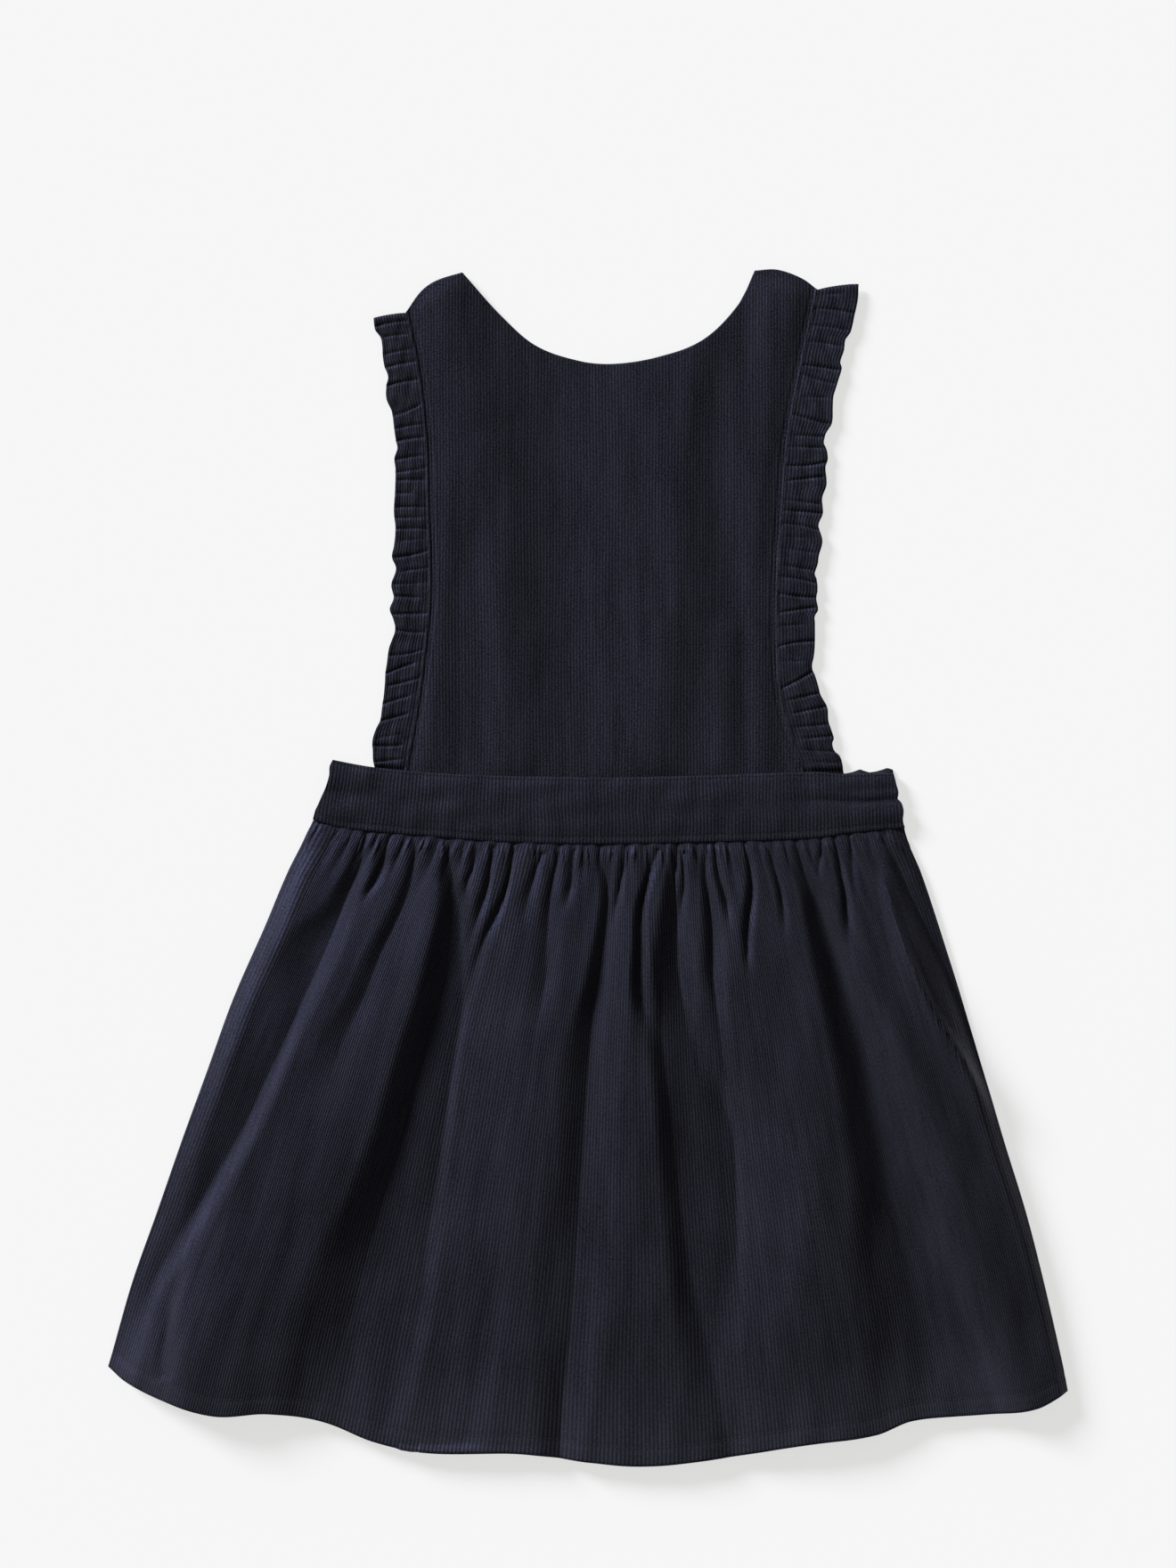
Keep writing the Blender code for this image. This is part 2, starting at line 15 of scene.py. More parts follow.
import bmesh
import bpy
import numpy as np
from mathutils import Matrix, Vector


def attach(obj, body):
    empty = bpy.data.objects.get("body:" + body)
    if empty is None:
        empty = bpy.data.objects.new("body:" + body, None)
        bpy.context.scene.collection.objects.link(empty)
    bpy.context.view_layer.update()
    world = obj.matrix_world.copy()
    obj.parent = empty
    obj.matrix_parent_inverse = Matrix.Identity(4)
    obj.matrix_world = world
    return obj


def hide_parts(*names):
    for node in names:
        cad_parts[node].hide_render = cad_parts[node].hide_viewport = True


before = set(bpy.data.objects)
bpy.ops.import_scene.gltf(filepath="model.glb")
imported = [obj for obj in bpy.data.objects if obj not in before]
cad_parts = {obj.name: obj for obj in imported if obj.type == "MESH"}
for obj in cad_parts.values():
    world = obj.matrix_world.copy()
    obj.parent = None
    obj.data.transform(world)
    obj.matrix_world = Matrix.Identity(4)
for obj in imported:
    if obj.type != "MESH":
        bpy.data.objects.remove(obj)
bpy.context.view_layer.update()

Array = np.ndarray
Rows = Sequence[Sequence[float]]
Curve = Callable[[Array], Array]
Span = tuple[float, float]
Run = tuple[float, float, int]
Object = bpy.types.Object
Material = bpy.types.Material
Tree = bpy.types.NodeTree
Node = bpy.types.Node
Socket = bpy.types.NodeSocket

MM = 0.001
BODY = "root"
LOG = logging.getLogger("pinafore")
UP = np.array([0.0, 0.0, 1.0])
OUTWARD = (-1.0, 1.0)  # x direction away from the middle, on the left and on the right
SIDES = ("left", "right")

# ---- sizes shared by the pieces, in mm ----

SEAM_GAP = 0.02
BACK_WALL = 1.2
FRONT_WALL = 1.2
TUCK_IN = 1.0
UPPER_LAYER = BACK_WALL + 0.3
RIB_PITCH = 1.6  # a 16-wale cord has ten ribs in 16 mm
RIB_HEIGHT = 0.22
PLAIN_RIB = 0.5  # the wrong side has no ribs, and its colour is halfway between groove and top

# fmt: off
ARMHOLES = (
    # up, left x, right x
    (44, -83, 98.2), (69.5, -78.4, 90), (92.5, -75.3, 87.2), (123.7, -72.3, 86.8),
    (158.6, -73.1, 88.9), (195.8, -74.3, 92), (230.2, -78.4, 98.4), (262, -85.2, 104.9),
)
SHOULDER_ENDS = (250.9, 261.4)
NECK_POINTS = (-56.9, 75.9)
LEFT_SHOULDER = (
    # x, up
    (-82.8, 250.9), (-76, 260.5), (-69.1, 265.5), (-56.9, 269.5),
)
NECKLINE = (
    # x, up
    (-56.9, 269.5), (-40.3, 250.9), (-24.1, 236.7), (-3.8, 229.4), (12.4, 228), (32.6, 231.2),
    (52.9, 239.2), (69.1, 255.8), (75.9, 270.3),
)
RIGHT_SHOULDER = (
    # x, up
    (75.9, 270.3), (86.1, 270.7), (97.4, 266.7), (104.7, 261.4),
)
SHOULDERS = (LEFT_SHOULDER, RIGHT_SHOULDER)
STRAP_WAIST_X = (-44, 58)

BAND_TOP = (
    # x, up
    (-116.4, 48.2), (-97, 44.6), (-56.5, 41.4), (8.3, 40), (56.9, 41), (97.4, 42.4),
    (139.7, 43.2),
)
BAND_BOTTOM = (
    # x, up
    (-124.2, 21), (-111.9, 17.2), (-75.5, 13.6), (-35, 10.6), (5.5, 9.8), (55.7, 10.7),
    (102.7, 12.5), (120.5, 14.9), (144, 17.2),
)
SKIRT_SIDES = (
    # up, left x, right x
    (-238.3, -221.5, 217.7), (-228, -217.7, 215.8), (-189.7, -206.8, 207.2),
    (-157.3, -195.4, 199.1), (-124.9, -184.1, 189.3), (-92.5, -172.3, 180),
    (-60.1, -160.6, 170.7), (-27.7, -146.4, 160.6), (-3.4, -136.3, 152.5), (10, -129.4, 147),
    (21, -124.2, 144),
)
HEM = (
    # x, up
    (-217.7, -227.4), (-209.6, -233.7), (-193.4, -241.3), (-169.1, -248.6), (-144.8, -248),
    (-120.5, -251.9), (-96.2, -261.4), (-71.9, -266), (-31.4, -266.3), (1, -270.3), (25.3, -272),
    (57.7, -268.9), (98.2, -262.2), (130.6, -257.8), (146.8, -251.7), (179.2, -248.8),
    (203.5, -245.6), (217.7, -238.3),
)
# fmt: on


@dataclass(frozen=True)
class Crease:
    """One crease of the skirt front, from its lower end to its upper end.

    Attributes:
        rows: height up, x, width of the flank on its left, on its right, and its depth as a share
            of the puff; a negative depth is a ridge.
        floor: share of the right flank that is a floor, before a step and a long ramp.
        tilt: how much deeper the floor's far end is than the bed, as a share of the depth.
        step: the step's height, as a share of the depth.
        step_width: the step's width, as a share of the ramp's.
        rounded: the bed is round and not sharp.
    """

    rows: Rows
    floor: float = 0.0
    tilt: float = -0.12
    step: float = 0.0
    step_width: float = 0.12
    rounded: bool = False


# fmt: off
SKIRT_CREASES = (
    # The deep fold to the lower left corner, and the crisp line up its right flank.
    Crease((
        (-238, -219, 20, 16, 0), (-222, -213.5, 26, 18, 0.52), (-210, -208, 32, 20, 0.66),
        (-198, -202, 44, 19, 0.72), (-180, -192, 80, 16, 0.76), (-160, -180, 110, 13, 0.76),
        (-140, -168, 120, 11, 0.7), (-120, -156.5, 120, 10, 0.62), (-100, -147, 120, 9, 0.56),
        (-80, -137.7, 110, 8.2, 0.46), (-60, -128.6, 80, 8.5, 0.41), (-40, -119.5, 34, 9.5, 0.4),
        (-20, -111.5, 12, 9, 0.5), (0, -103.5, 6.5, 5.5, 0.66), (13, -100.5, 3.5, 3.5, 0.6),
    )),
    Crease((
        (-212, -204, 10, 3.5, 0), (-196, -197, 26, 3.5, 0.14), (-180, -187.5, 50, 3.4, 0.22),
        (-160, -176, 60, 3.2, 0.26), (-140, -164.5, 60, 3, 0.24), (-120, -153.5, 60, 3, 0.18),
        (-100, -144.5, 50, 3, 0.1), (-80, -135.5, 40, 3, 0),
    )),
    # The lower left corner: a short fold and a swelling.
    Crease((
        (-232, -192, 6, 7, 0.1), (-214, -191, 7, 8, 0.28), (-196, -189, 6, 7, 0.2),
        (-184, -185.5, 5, 5, 0),
    )),
    Crease((
        (-252, -182, 25, 70, -1), (-225, -180, 27, 70, -0.95), (-205, -176, 28, 60, -0.62),
        (-185, -168, 24, 44, -0.25), (-160, -158, 14, 20, 0),
    ), rounded=True),
    # Left of the dark trough.
    Crease((
        (-17, -103, 3.5, 5, 0), (-8, -96.5, 5, 4.5, 0.5), (0, -92.5, 5, 3, 0.6),
        (8, -91, 3, 2.5, 0.4),
    )),
    Crease((
        (-110, -121, 15, 30, 0), (-80, -111, 13, 26, 0.14), (-60, -101.5, 10, 24, 0.3),
        (-40, -94, 9, 22, 0.34), (-20, -84.5, 7, 16, 0.38), (-5, -79.5, 5, 10, 0.46),
        (8, -79, 3, 3, 0.5),
    )),
    # The dark trough, with a floor and a step on its right.
    Crease((
        (-264, -130, 36, 130, 0.34), (-235, -118.5, 34, 140, 0.48), (-205, -107.5, 31, 124, 0.64),
        (-180, -101, 27, 108, 0.74), (-155, -94, 20, 98, 0.8), (-120, -83.5, 16, 74, 0.82),
        (-90, -76, 14, 62, 0.84), (-60, -68.5, 11.5, 50, 0.82), (-40, -64.5, 10, 28, 0.82),
        (-20, -61.5, 8, 12, 0.78), (-5, -63, 5.5, 6, 0.76), (8, -64, 3.5, 3, 0.5),
    ), floor=0.24, tilt=0.16, step=0.2, step_width=0.1),
    # Short folds under the waist, left of the middle.
    Crease((
        (-46, -57, 4, 6, 0), (-30, -52, 4, 5, 0.2), (-18, -48, 4.5, 4, 0.42),
        (-8, -45, 4, 3, 0.6), (3, -44, 3, 2.5, 0.5),
    )),
    Crease((
        (-22, -56.5, 3, 5, 0), (-7, -54.5, 3.5, 3, 0.4), (-2, -52.5, 3, 2.5, 0.5),
        (6, -51.5, 2.5, 2.5, 0.3),
    )),
    Crease((
        (-110, -66, 7, 8, 0), (-90, -62, 6, 7, 0.1), (-65, -57, 5, 7, 0.2),
        (-32, -46.5, 4, 6, 0.34), (-18, -40, 3, 4, 0.54), (-8, -36.5, 3, 3, 0.7),
        (5, -34.5, 2.5, 2.5, 0.7),
    )),
    Crease(((-28, -30, 6, 6, 0), (-12, -26, 6, 5, 0.34), (0, -22, 4.5, 3, 0.5))),
    Crease((
        (-78, -24, 9, 9, 0), (-52, -19, 9, 8, 0.22), (-35, -18.5, 6.5, 7.5, 0.2),
        (-12, -16.5, 4, 5, 0.4), (4, -13, 3, 3, 0.55),
    )),
    Crease(((-20, -10, 4.5, 4, 0), (-10, -7.5, 4.5, 3, 0.5), (2, -6, 2.5, 2.5, 0.4))),
    # A faint trough above the hem.
    Crease((
        (-262, -56, 20, 14, 0.16), (-215, -49, 18, 13, 0.2), (-160, -43, 14, 12, 0.1),
        (-120, -40, 10, 10, 0),
    )),
    # The trough in the middle.
    Crease((
        (-274, -12.5, 10, 13, 0.5), (-245, -11.5, 14, 15, 0.52), (-215, -8.5, 17, 20, 0.46),
        (-190, -6.5, 20, 24, 0.43), (-150, -3.5, 19, 26, 0.42), (-100, -0.5, 17, 24, 0.42),
        (-75, 1.5, 12, 18, 0.5), (-55, 4, 7, 18, 0.64), (-40, 6, 5.5, 18, 0.62),
        (-15, 9, 4.5, 12, 0.62), (6, 6, 3.5, 6, 0.6),
    )),
    # Short folds under the waist, at the middle.
    Crease(((-28, 11, 2.8, 4, 0), (-10, 14.5, 2.8, 3, 0.6), (5, 16.5, 2.5, 2.5, 0.5))),
    Crease((
        (-80, 30, 8, 6, 0), (-58, 24, 6, 8, 0.62), (-35, 23.5, 4, 4.5, 0.78),
        (-18, 24.5, 4, 3.6, 0.84), (2, 30, 3.2, 3.2, 0.6),
    )),
    # The stepped trough right of the middle, the hollow at its top and its lower end.
    Crease((
        (-210, 49, 13, 56, 0), (-180, 45.5, 11.5, 60, 0.26), (-150, 41.5, 9.5, 70, 0.45),
        (-120, 38, 8.5, 76, 0.47), (-100, 35.8, 8, 62, 0.46), (-80, 33.5, 7.5, 42, 0.44),
        (-62, 33.5, 8, 26, 0.44), (-48, 34.5, 8, 18, 0.44), (-35, 35.5, 7, 14, 0.44),
        (-20, 37, 6, 10, 0.46), (-6, 38, 4, 5, 0.54), (7, 39.5, 2.5, 2.5, 0.5),
    ), floor=0.37, tilt=0.8, step=0.5, step_width=0.11),
    Crease((
        (-78, 43, 12, 12, 0), (-56, 44, 15, 14, 0.3), (-26, 45, 14, 14, 0.3),
        (-8, 46, 10, 9, 0.2), (4, 46, 8, 8, 0),
    ), rounded=True),
    Crease((
        (-274, 66, 19, 28, 0.3), (-235, 58.5, 16, 30, 0.42), (-205, 51, 13.5, 33, 0.47),
        (-180, 46, 11.5, 30, 0.26), (-155, 42, 10, 26, 0),
    )),
    # Short folds under the waist, right of the middle.
    Crease(((-28, 40, 5, 5, 0.1), (-13, 43.5, 4.5, 2.8, 0.66), (0, 43.8, 2.8, 2.5, 0.5))),
    Crease((
        (-120, 64.5, 9, 6, 0), (-100, 62.5, 13, 6, 0.2), (-80, 60.5, 15, 6, 0.38),
        (-65, 58.6, 10, 7, 0.48), (-50, 57, 7.5, 8, 0.56), (-30, 56.5, 6, 7.5, 0.66),
        (-15, 55, 4.5, 5, 0.7), (-2, 53.5, 3, 3, 0.66), (8, 54, 2.5, 2.5, 0.5),
    )),
    Crease((
        (-28, 64.5, 3, 4, 0), (-16, 63, 4.5, 3, 0.55), (-4, 60, 4.5, 2.5, 0.55),
        (5, 58.5, 2.5, 2.5, 0.5),
    )),
    Crease((
        (-48, 72.5, 3, 4, 0), (-28, 72.5, 4, 3.2, 0.66), (-12, 74.5, 4, 3, 0.8),
        (0, 73.5, 3, 3, 0.76), (9, 71.5, 2.2, 2.2, 0.5),
    )),
    Crease((
        (-32, 89.5, 4, 4, 0), (-14, 88, 3.5, 3, 0.5), (-2, 84.5, 3, 3, 0.45),
        (8, 81, 2.2, 2.2, 0.45),
    )),
    # The long trough on the right.
    Crease((
        (-268, 170, 44, 34, 0.42), (-220, 162, 40, 35, 0.8), (-200, 155, 35, 35, 0.82),
        (-180, 148, 29, 33, 0.82), (-140, 138, 22, 30, 0.82), (-110, 131.5, 19, 27, 0.82),
        (-85, 125, 17, 19, 0.86), (-60, 117.3, 14, 14, 0.9), (-30, 107.5, 10, 10, 0.9),
        (-15, 103, 7.5, 6.5, 0.84), (-5, 99, 6.5, 5, 0.7), (6, 96, 4, 3, 0.4),
    ), rounded=True),
    # Short folds under the waist, at the right.
    Crease(((-6, 104.5, 2.5, 2.5, 0), (4, 105.5, 2.5, 2.2, 0.5), (11, 106, 2, 2, 0.4))),
    Crease((
        (-42, 118.5, 6, 6, 0), (-14, 117, 3.5, 3, 0.6), (-2, 114.5, 3, 2.8, 0.74),
        (9, 112.5, 2.2, 2.2, 0.5),
    )),
    Crease(((-16, 122, 3.2, 3.2, 0), (4, 119.5, 2.8, 2.5, 0.45), (12, 119, 2.2, 2.2, 0.4))),
    # The fold along the right edge, and the ridge beside it.
    Crease((
        (-108, 187, 9, 12, 0), (-96, 183, 11, 12, 0.84), (-80, 176.5, 12, 12, 0.95),
        (-60, 168, 12, 12, 0.96), (-40, 159, 11, 12, 0.95), (-20, 149.5, 9, 12, 0.9),
        (0, 141, 6.5, 8, 0.8), (9, 138, 4, 4, 0.4),
    ), floor=0.3),
    Crease((
        (-116, 184, 12, 6, 0), (-102, 177.5, 13, 6.5, -0.45), (-88, 169, 12, 6, -0.65),
        (-66, 155.5, 10, 5.5, -0.62), (-38, 144, 8, 4.5, -0.54), (-12, 136, 5, 3.5, -0.36),
        (0, 133, 3, 3, 0),
    )),
    # The ridges right and left of the long trough.
    Crease((
        (-262, 200, 16, 12, -0.46), (-225, 190, 11, 22, -0.52), (-205, 180.5, 10, 26, -0.52),
        (-180, 171, 9, 30, -0.52), (-150, 161, 8.5, 28, -0.5), (-120, 151, 8, 26, -0.46),
        (-90, 140, 7.5, 20, -0.38), (-60, 129.5, 7, 14, -0.26), (-38, 120, 6, 10, 0),
    ), rounded=True),
    Crease((
        (-268, 100, 44, 40, -0.3), (-205, 104, 46, 34, -0.3), (-150, 104, 44, 28, -0.24),
        (-110, 100, 40, 20, -0.12), (-85, 98, 30, 18, 0),
    ), rounded=True),
)

# The soft ridges of the bodice, each from its lower end to its upper end.
BODICE_RIDGES = (
    # up, x, width of the flank on its left, on its right, height
    (
        (44, -72, 10, 18, 1.22), (60, -71, 10, 16, 1.3), (80, -68, 9, 12, 1.22),
        (105, -66, 8, 8, 0.94), (125, -66, 8, 8, 0.72), (150, -64, 10, 14, 0.72),
        (180, -60, 14, 26, 0.94), (220, -62, 16, 38, 1.08), (262, -66, 14, 34, 0.86),
    ),
    (
        (44, -37, 14, 26, 1.2), (60, -37, 14, 28, 1.3), (80, -36, 17, 28, 1.6),
        (120, -36, 20, 22, 1.4), (150, -37, 20, 20, 1.1), (190, -42, 18, 18, 0.7),
    ),
    (
        (44, 30, 26, 26, 1.5), (60, 31, 30, 26, 1.97), (80, 34, 40, 28, 2.63),
        (120, 38, 52, 25, 3.1), (180, 38, 54, 22, 3.01), (220, 44, 62, 19, 2.63),
        (240, 47, 66, 18, 2.07),
    ),
    ((44, 60, 14, 10, 0.96), (80, 61, 13, 10, 0.96), (105, 63, 11, 9, 0.48)),
    (
        (44, 80, 9, 10, 0.96), (80, 79, 9, 9, 1.04), (105, 77, 9, 9, 0.89),
        (130, 76, 12, 10, 0.67), (180, 77, 16, 11, 0.67), (220, 84, 16, 11, 0.74),
        (258, 91, 16, 12, 0.74),
    ),
    ((44, 8, 10, 9, 0.5), (62, 8, 10, 9, 0.45), (70, 8, 9, 9, 0.2)),
    ((44, -14, 9, 6, 0.3), (70, -15, 9, 6, 0.2)),
)

# The creases of the ruffles, from the shoulder to the waist, and the ruffles' free edges.
LEFT_RUFFLE_CREASES = (
    # up at the seam, up at the free edge, bow, depth, from share across, to share across
    (251, 248.6, 0.4, 0.5, 0, 1), (247.3, 244.6, 0.6, 0.85, 0, 1),
    (241.4, 239.6, 0.3, 0.5, 0.15, 0.9), (234.8, 231.8, 0.2, 0.5, 0.1, 0.9),
    (229, 226, 0.3, 0.85, 0, 1), (220.8, 217.8, 0.4, 0.9, 0, 0.95),
    (210, 204.4, -0.8, 0.7, 0, 0.9), (200.6, 198.2, 0.3, 0.6, 0, 1),
    (194.6, 192.8, 0.2, 0.9, 0, 1), (186.2, 184, 0.4, 0.6, 0, 0.95),
    (180.8, 178.6, -0.3, 0.55, 0, 0.95), (174.9, 174.9, 0.3, 0.6, 0.1, 0.9),
    (169.4, 169, 0, 0.45, 0.5, 1), (162.7, 162.7, 0.2, 0.6, 0, 1),
    (158.2, 157.8, 0, 0.55, 0.1, 0.95), (152.8, 152.8, 0.3, 0.6, 0, 1),
    (148.6, 147.2, 0, 0.25, 0.1, 0.8), (143.2, 139.8, -0.5, 0.95, 0, 1),
    (135.3, 133.4, 0, 0.65, 0, 0.75), (128.6, 127.8, -0.2, 0.4, 0, 1),
    (121.2, 122.3, 0.2, 0.9, 0.3, 1), (114.6, 114.2, -0.1, 0.9, 0, 0.95),
    (106, 107.2, -0.6, 0.75, 0, 0.95), (98.3, 95.4, -0.8, 0.6, 0, 1),
    (93, 87, 0.6, 0.95, 0.25, 1), (85.6, 81.6, -0.4, 0.9, 0, 0.85),
    (78.2, 73.4, 0.2, 0.7, 0.25, 1), (69.8, 65.6, 0.2, 0.95, 0.25, 1),
    (60.6, 57.4, 0, 0.25, 0.2, 0.9), (55.2, 54.6, -0.5, 0.95, 0.25, 1),
    (48.4, 46.9, 0.2, 0.8, 0.2, 1), (42.4, 44, 0, 0.5, 0, 1),
)
RIGHT_RUFFLE_CREASES = (
    (261.4, 264, 0.6, 0.5, 0, 1), (259.4, 259.6, 0, 0.4, 0.2, 0.6),
    (253.1, 250.6, 0.5, 0.55, 0, 1), (245.4, 242.8, 0.3, 0.5, 0.1, 0.9),
    (238.4, 235.4, 0.3, 0.55, 0.1, 0.9), (227.3, 224.8, 0.2, 0.9, 0, 1),
    (223.7, 218.6, -0.7, 0.6, 0.1, 0.9), (213.2, 212.2, 0, 0.3, 0.2, 0.8),
    (205.2, 200.2, -0.3, 0.9, 0, 0.95), (195.5, 194.6, 0, 0.6, 0.2, 1),
    (190.2, 189.6, 0, 0.6, 0, 0.9), (181.7, 183.4, -0.9, 0.9, 0, 1),
    (174.3, 176.7, 0.2, 0.85, 0.1, 0.9), (166.2, 164, 0, 0.55, 0.1, 0.95),
    (161.2, 159.8, 0.2, 0.9, 0, 1), (155.3, 152, 0.8, 0.6, 0, 1),
    (149.6, 148.2, 0, 0.3, 0.1, 0.6), (144.2, 141.7, 0, 0.35, 0.1, 0.9),
    (136.8, 133.9, 0, 0.6, 0.1, 0.95), (131.4, 128.2, 0.4, 0.75, 0.1, 1),
    (123.9, 121.8, -0.6, 0.95, 0, 1), (114.6, 117.4, 0.2, 0.95, 0.1, 0.9),
    (109, 109.5, 0, 0.5, 0.1, 0.6), (99.4, 102, 0.6, 0.95, 0, 1), (93.1, 92.6, 0, 0.3, 0.1, 0.7),
    (80.2, 88.4, -0.4, 1, 0, 1), (74.4, 78.4, 0, 0.75, 0.2, 1), (68.3, 72.3, 0, 0.8, 0.2, 1),
    (62.6, 64.2, 0, 0.6, 0.2, 1), (57.2, 58.9, 0, 0.7, 0.2, 1), (52.8, 51.6, 0, 0.55, 0.2, 1),
    (47.2, 46.6, 0, 0.45, 0.3, 0.9), (41.4, 41.6, 0, 0.5, 0, 1),
)
LEFT_RUFFLE_EDGE = (
    # up, x
    (45.6, -96.9), (48, -97.4), (52, -97.5), (57, -97.6), (62, -96.1), (66, -94.1), (71, -93.4),
    (80, -92.2), (88, -91.7), (92, -91.1), (98.5, -90.2), (102, -89), (107, -87.3), (112, -88.2),
    (116.5, -89.8), (121.5, -88), (127.5, -89.1), (135, -86.9), (140, -88.8), (145, -87.9),
    (153, -87.2), (161, -87.9), (170, -87.4), (180, -87.2), (185, -87.7), (189.5, -86.3),
    (193, -87), (200, -88), (206, -88.8), (212, -91.3), (218, -91.3), (222, -90.5), (227, -92.3),
    (232, -93), (236, -93.2), (240, -94), (243, -96.3), (249, -97.2),
)
RIGHT_RUFFLE_EDGE = (
    # up, x
    (42.6, 116.2), (47, 115.5), (50, 114.3), (52, 112.1), (55.5, 111.1), (58, 111.8), (62, 110.5),
    (66, 109.3), (71, 109), (74, 107.8), (77.5, 105.8), (82, 104.6), (86, 103.4), (90, 101.9),
    (95, 102.7), (101, 103.2), (110, 103.2), (113.3, 103.1), (116, 104.6), (121.5, 103.8),
    (125, 104.4), (130, 104), (132.5, 103.1), (137, 104.5), (141, 105), (146, 106.5),
    (149, 106.4), (154.5, 104.8), (160, 106.8), (167, 106.5), (173, 108.5), (181, 108),
    (184.5, 109), (189, 108.5), (192, 107.2), (196, 108.1), (201, 110.9), (207.5, 111.3),
    (213, 111.6), (217, 112.8), (221, 114), (226, 115.4), (228.5, 114.7), (234, 116.4),
    (239, 117.1), (242, 119.3), (250, 121.2), (257, 122.7), (264, 123),
)
# fmt: on

# ---- arithmetic on whole arrays ----


def mix(low: Array, high: Array, share: Array) -> Array:
    """Straight-line mix of two values: low at share 0, high at share 1."""
    return low + (high - low) * share


def ease(low: float, high: float, value: Array) -> Array:
    """0 below low, 1 above high, and 3t^2 - 2t^3 between, so that both ends are level."""
    t = np.clip((value - low) / (high - low), 0.0, 1.0)
    return t * t * (3 - 2 * t)


def hump(t: Array) -> Array:
    """A round crest: 1 at t = 0, falling to 0 at t = 1, level at both."""
    return 1 - ease(0.0, 1.0, t)


def valley(t: Array) -> Array:
    """A sharp bed: 1 at t = 0, falling at once and level where it reaches 0 at t = 1."""
    return (1 - t) ** 2 * (1 + t)


def bell(value: Array, centre: Array | float, half_width: Array | float) -> Array:
    """A bell curve, 1 at the centre."""
    return np.exp(-(((value - centre) / half_width) ** 2))


def lookup(rows: Rows, at: Array, *columns: int) -> list[Array]:
    """Straight-line values of some columns of a table at places in its first column."""
    table = np.asarray(rows, float)
    return [np.interp(at, table[:, 0], table[:, k]) for k in columns]


def through(rows: Rows, at: Array, column: int = 1) -> Array:
    """Smooth value of one column of a table at places in its first column.

    Between two rows it is a cubic whose slope at each row is that of the line joining the row's
    neighbours; past the ends it goes straight on.

    Args:
        rows: the table, with a rising first column.
        at: places in the first column.
        column: the column that is read.

    Returns:
        The values, in the shape of at.
    """
    table = np.asarray(rows, float)
    knots, values = table[:, 0], table[:, column]
    last = len(knots) - 1
    low = np.maximum(np.arange(last + 1) - 1, 0)
    high = np.minimum(np.arange(last + 1) + 1, last)
    slopes = (values[high] - values[low]) / (knots[high] - knots[low])
    k = np.clip(np.searchsorted(knots, at, side="right") - 1, 0, last - 1)
    span = knots[k + 1] - knots[k]
    raw = (at - knots[k]) / span
    t = np.clip(raw, 0.0, 1.0)
    rise = values[k + 1] - values[k]
    bend_in = slopes[k] * span - rise
    bend_out = rise - slopes[k + 1] * span
    inside = values[k] + t * rise + t * (1 - t) * ((1 - t) * bend_in + t * bend_out)
    end_slope = np.where(raw < 0, slopes[k], slopes[k + 1])
    return inside + (raw - t) * span * end_slope


@dataclass(frozen=True)
class Ripple:
    """A soft uneven field: a sum of sine waves in random directions.

    Attributes:
        height: typical size of the field.
        length: typical wavelength in mm.
        seed: seed of the directions, lengths and phases.
        along: how many times closer the waves are along Y than across.
        waves: how many sine waves are added.
        spread: shortest and longest wavelength, as shares of the typical one.
    """

    height: float
    length: float
    seed: int
    along: float = 1.0
    waves: int = 7
    spread: Span = (0.6, 1.6)

    def at(self, x: Array, y: Array) -> Array:
        """The field at places across and along, in mm."""
        random = np.random.default_rng(self.seed)
        total = np.zeros(np.broadcast(x, y).shape)
        for _ in range(self.waves):
            angle, phase = random.uniform(0.0, 2 * math.pi, 2)
            turns = 2 * math.pi / (self.length * random.uniform(*self.spread))
            way = x * math.cos(angle) + y * self.along * math.sin(angle)
            total += np.sin(way * turns + phase)
        return self.height * total * math.sqrt(2.0 / self.waves)


def stretches(*runs: Run) -> Array:
    """Places along a line, each run giving its start, its end and its number of steps."""
    parts = [np.linspace(start, end, steps, endpoint=False) for start, end, steps in runs]
    return np.append(np.concatenate(parts), runs[-1][1])


def grid(v: Array, u: Array) -> tuple[Array, Array]:
    """Every pair of a place down and a place across, as two grids."""
    v_grid, u_grid = np.meshgrid(v, u, indexing="ij")
    return v_grid, u_grid


def unit(vectors: Array) -> Array:
    """Vectors brought to length 1."""
    return vectors / np.maximum(np.linalg.norm(vectors, axis=-1, keepdims=True), 1e-9)


# ---- outlines ----


def edge_along(
    x_from: float, x_to: float, rows: Rows, drop: float = 0.0, spread: Curve | None = None
) -> Curve:
    """An edge from one x to another along a table of (x, up), lowered by drop."""

    def point(u: Array) -> Array:
        x = mix(x_from, x_to, spread(u) if spread else u)
        return np.stack([x, through(rows, x) - drop], axis=-1)

    return point


def edge_down(rows: Rows, column: int, start: Array, end: Array, inset: float = 0.0) -> Curve:
    """An edge down a column of a table of (up, x, x), moved to begin and end on two corners."""

    def raw(v: Array) -> Array:
        up = mix(start[1], end[1], v)
        return np.stack([through(rows, up, column) + inset, up], axis=-1)

    def point(v: Array) -> Array:
        first, last = raw(np.zeros(1))[0], raw(np.ones(1))[0]
        return raw(v) + mix(start - first, end - last, v[..., None])

    return point


def straight(start: Array, end: Array) -> Curve:
    """A straight edge between two points."""
    return lambda share: mix(start, end, share[..., None])


def ends(curve: Curve) -> tuple[Array, Array]:
    """The first and the last point of an edge."""
    return curve(np.zeros(1))[0], curve(np.ones(1))[0]


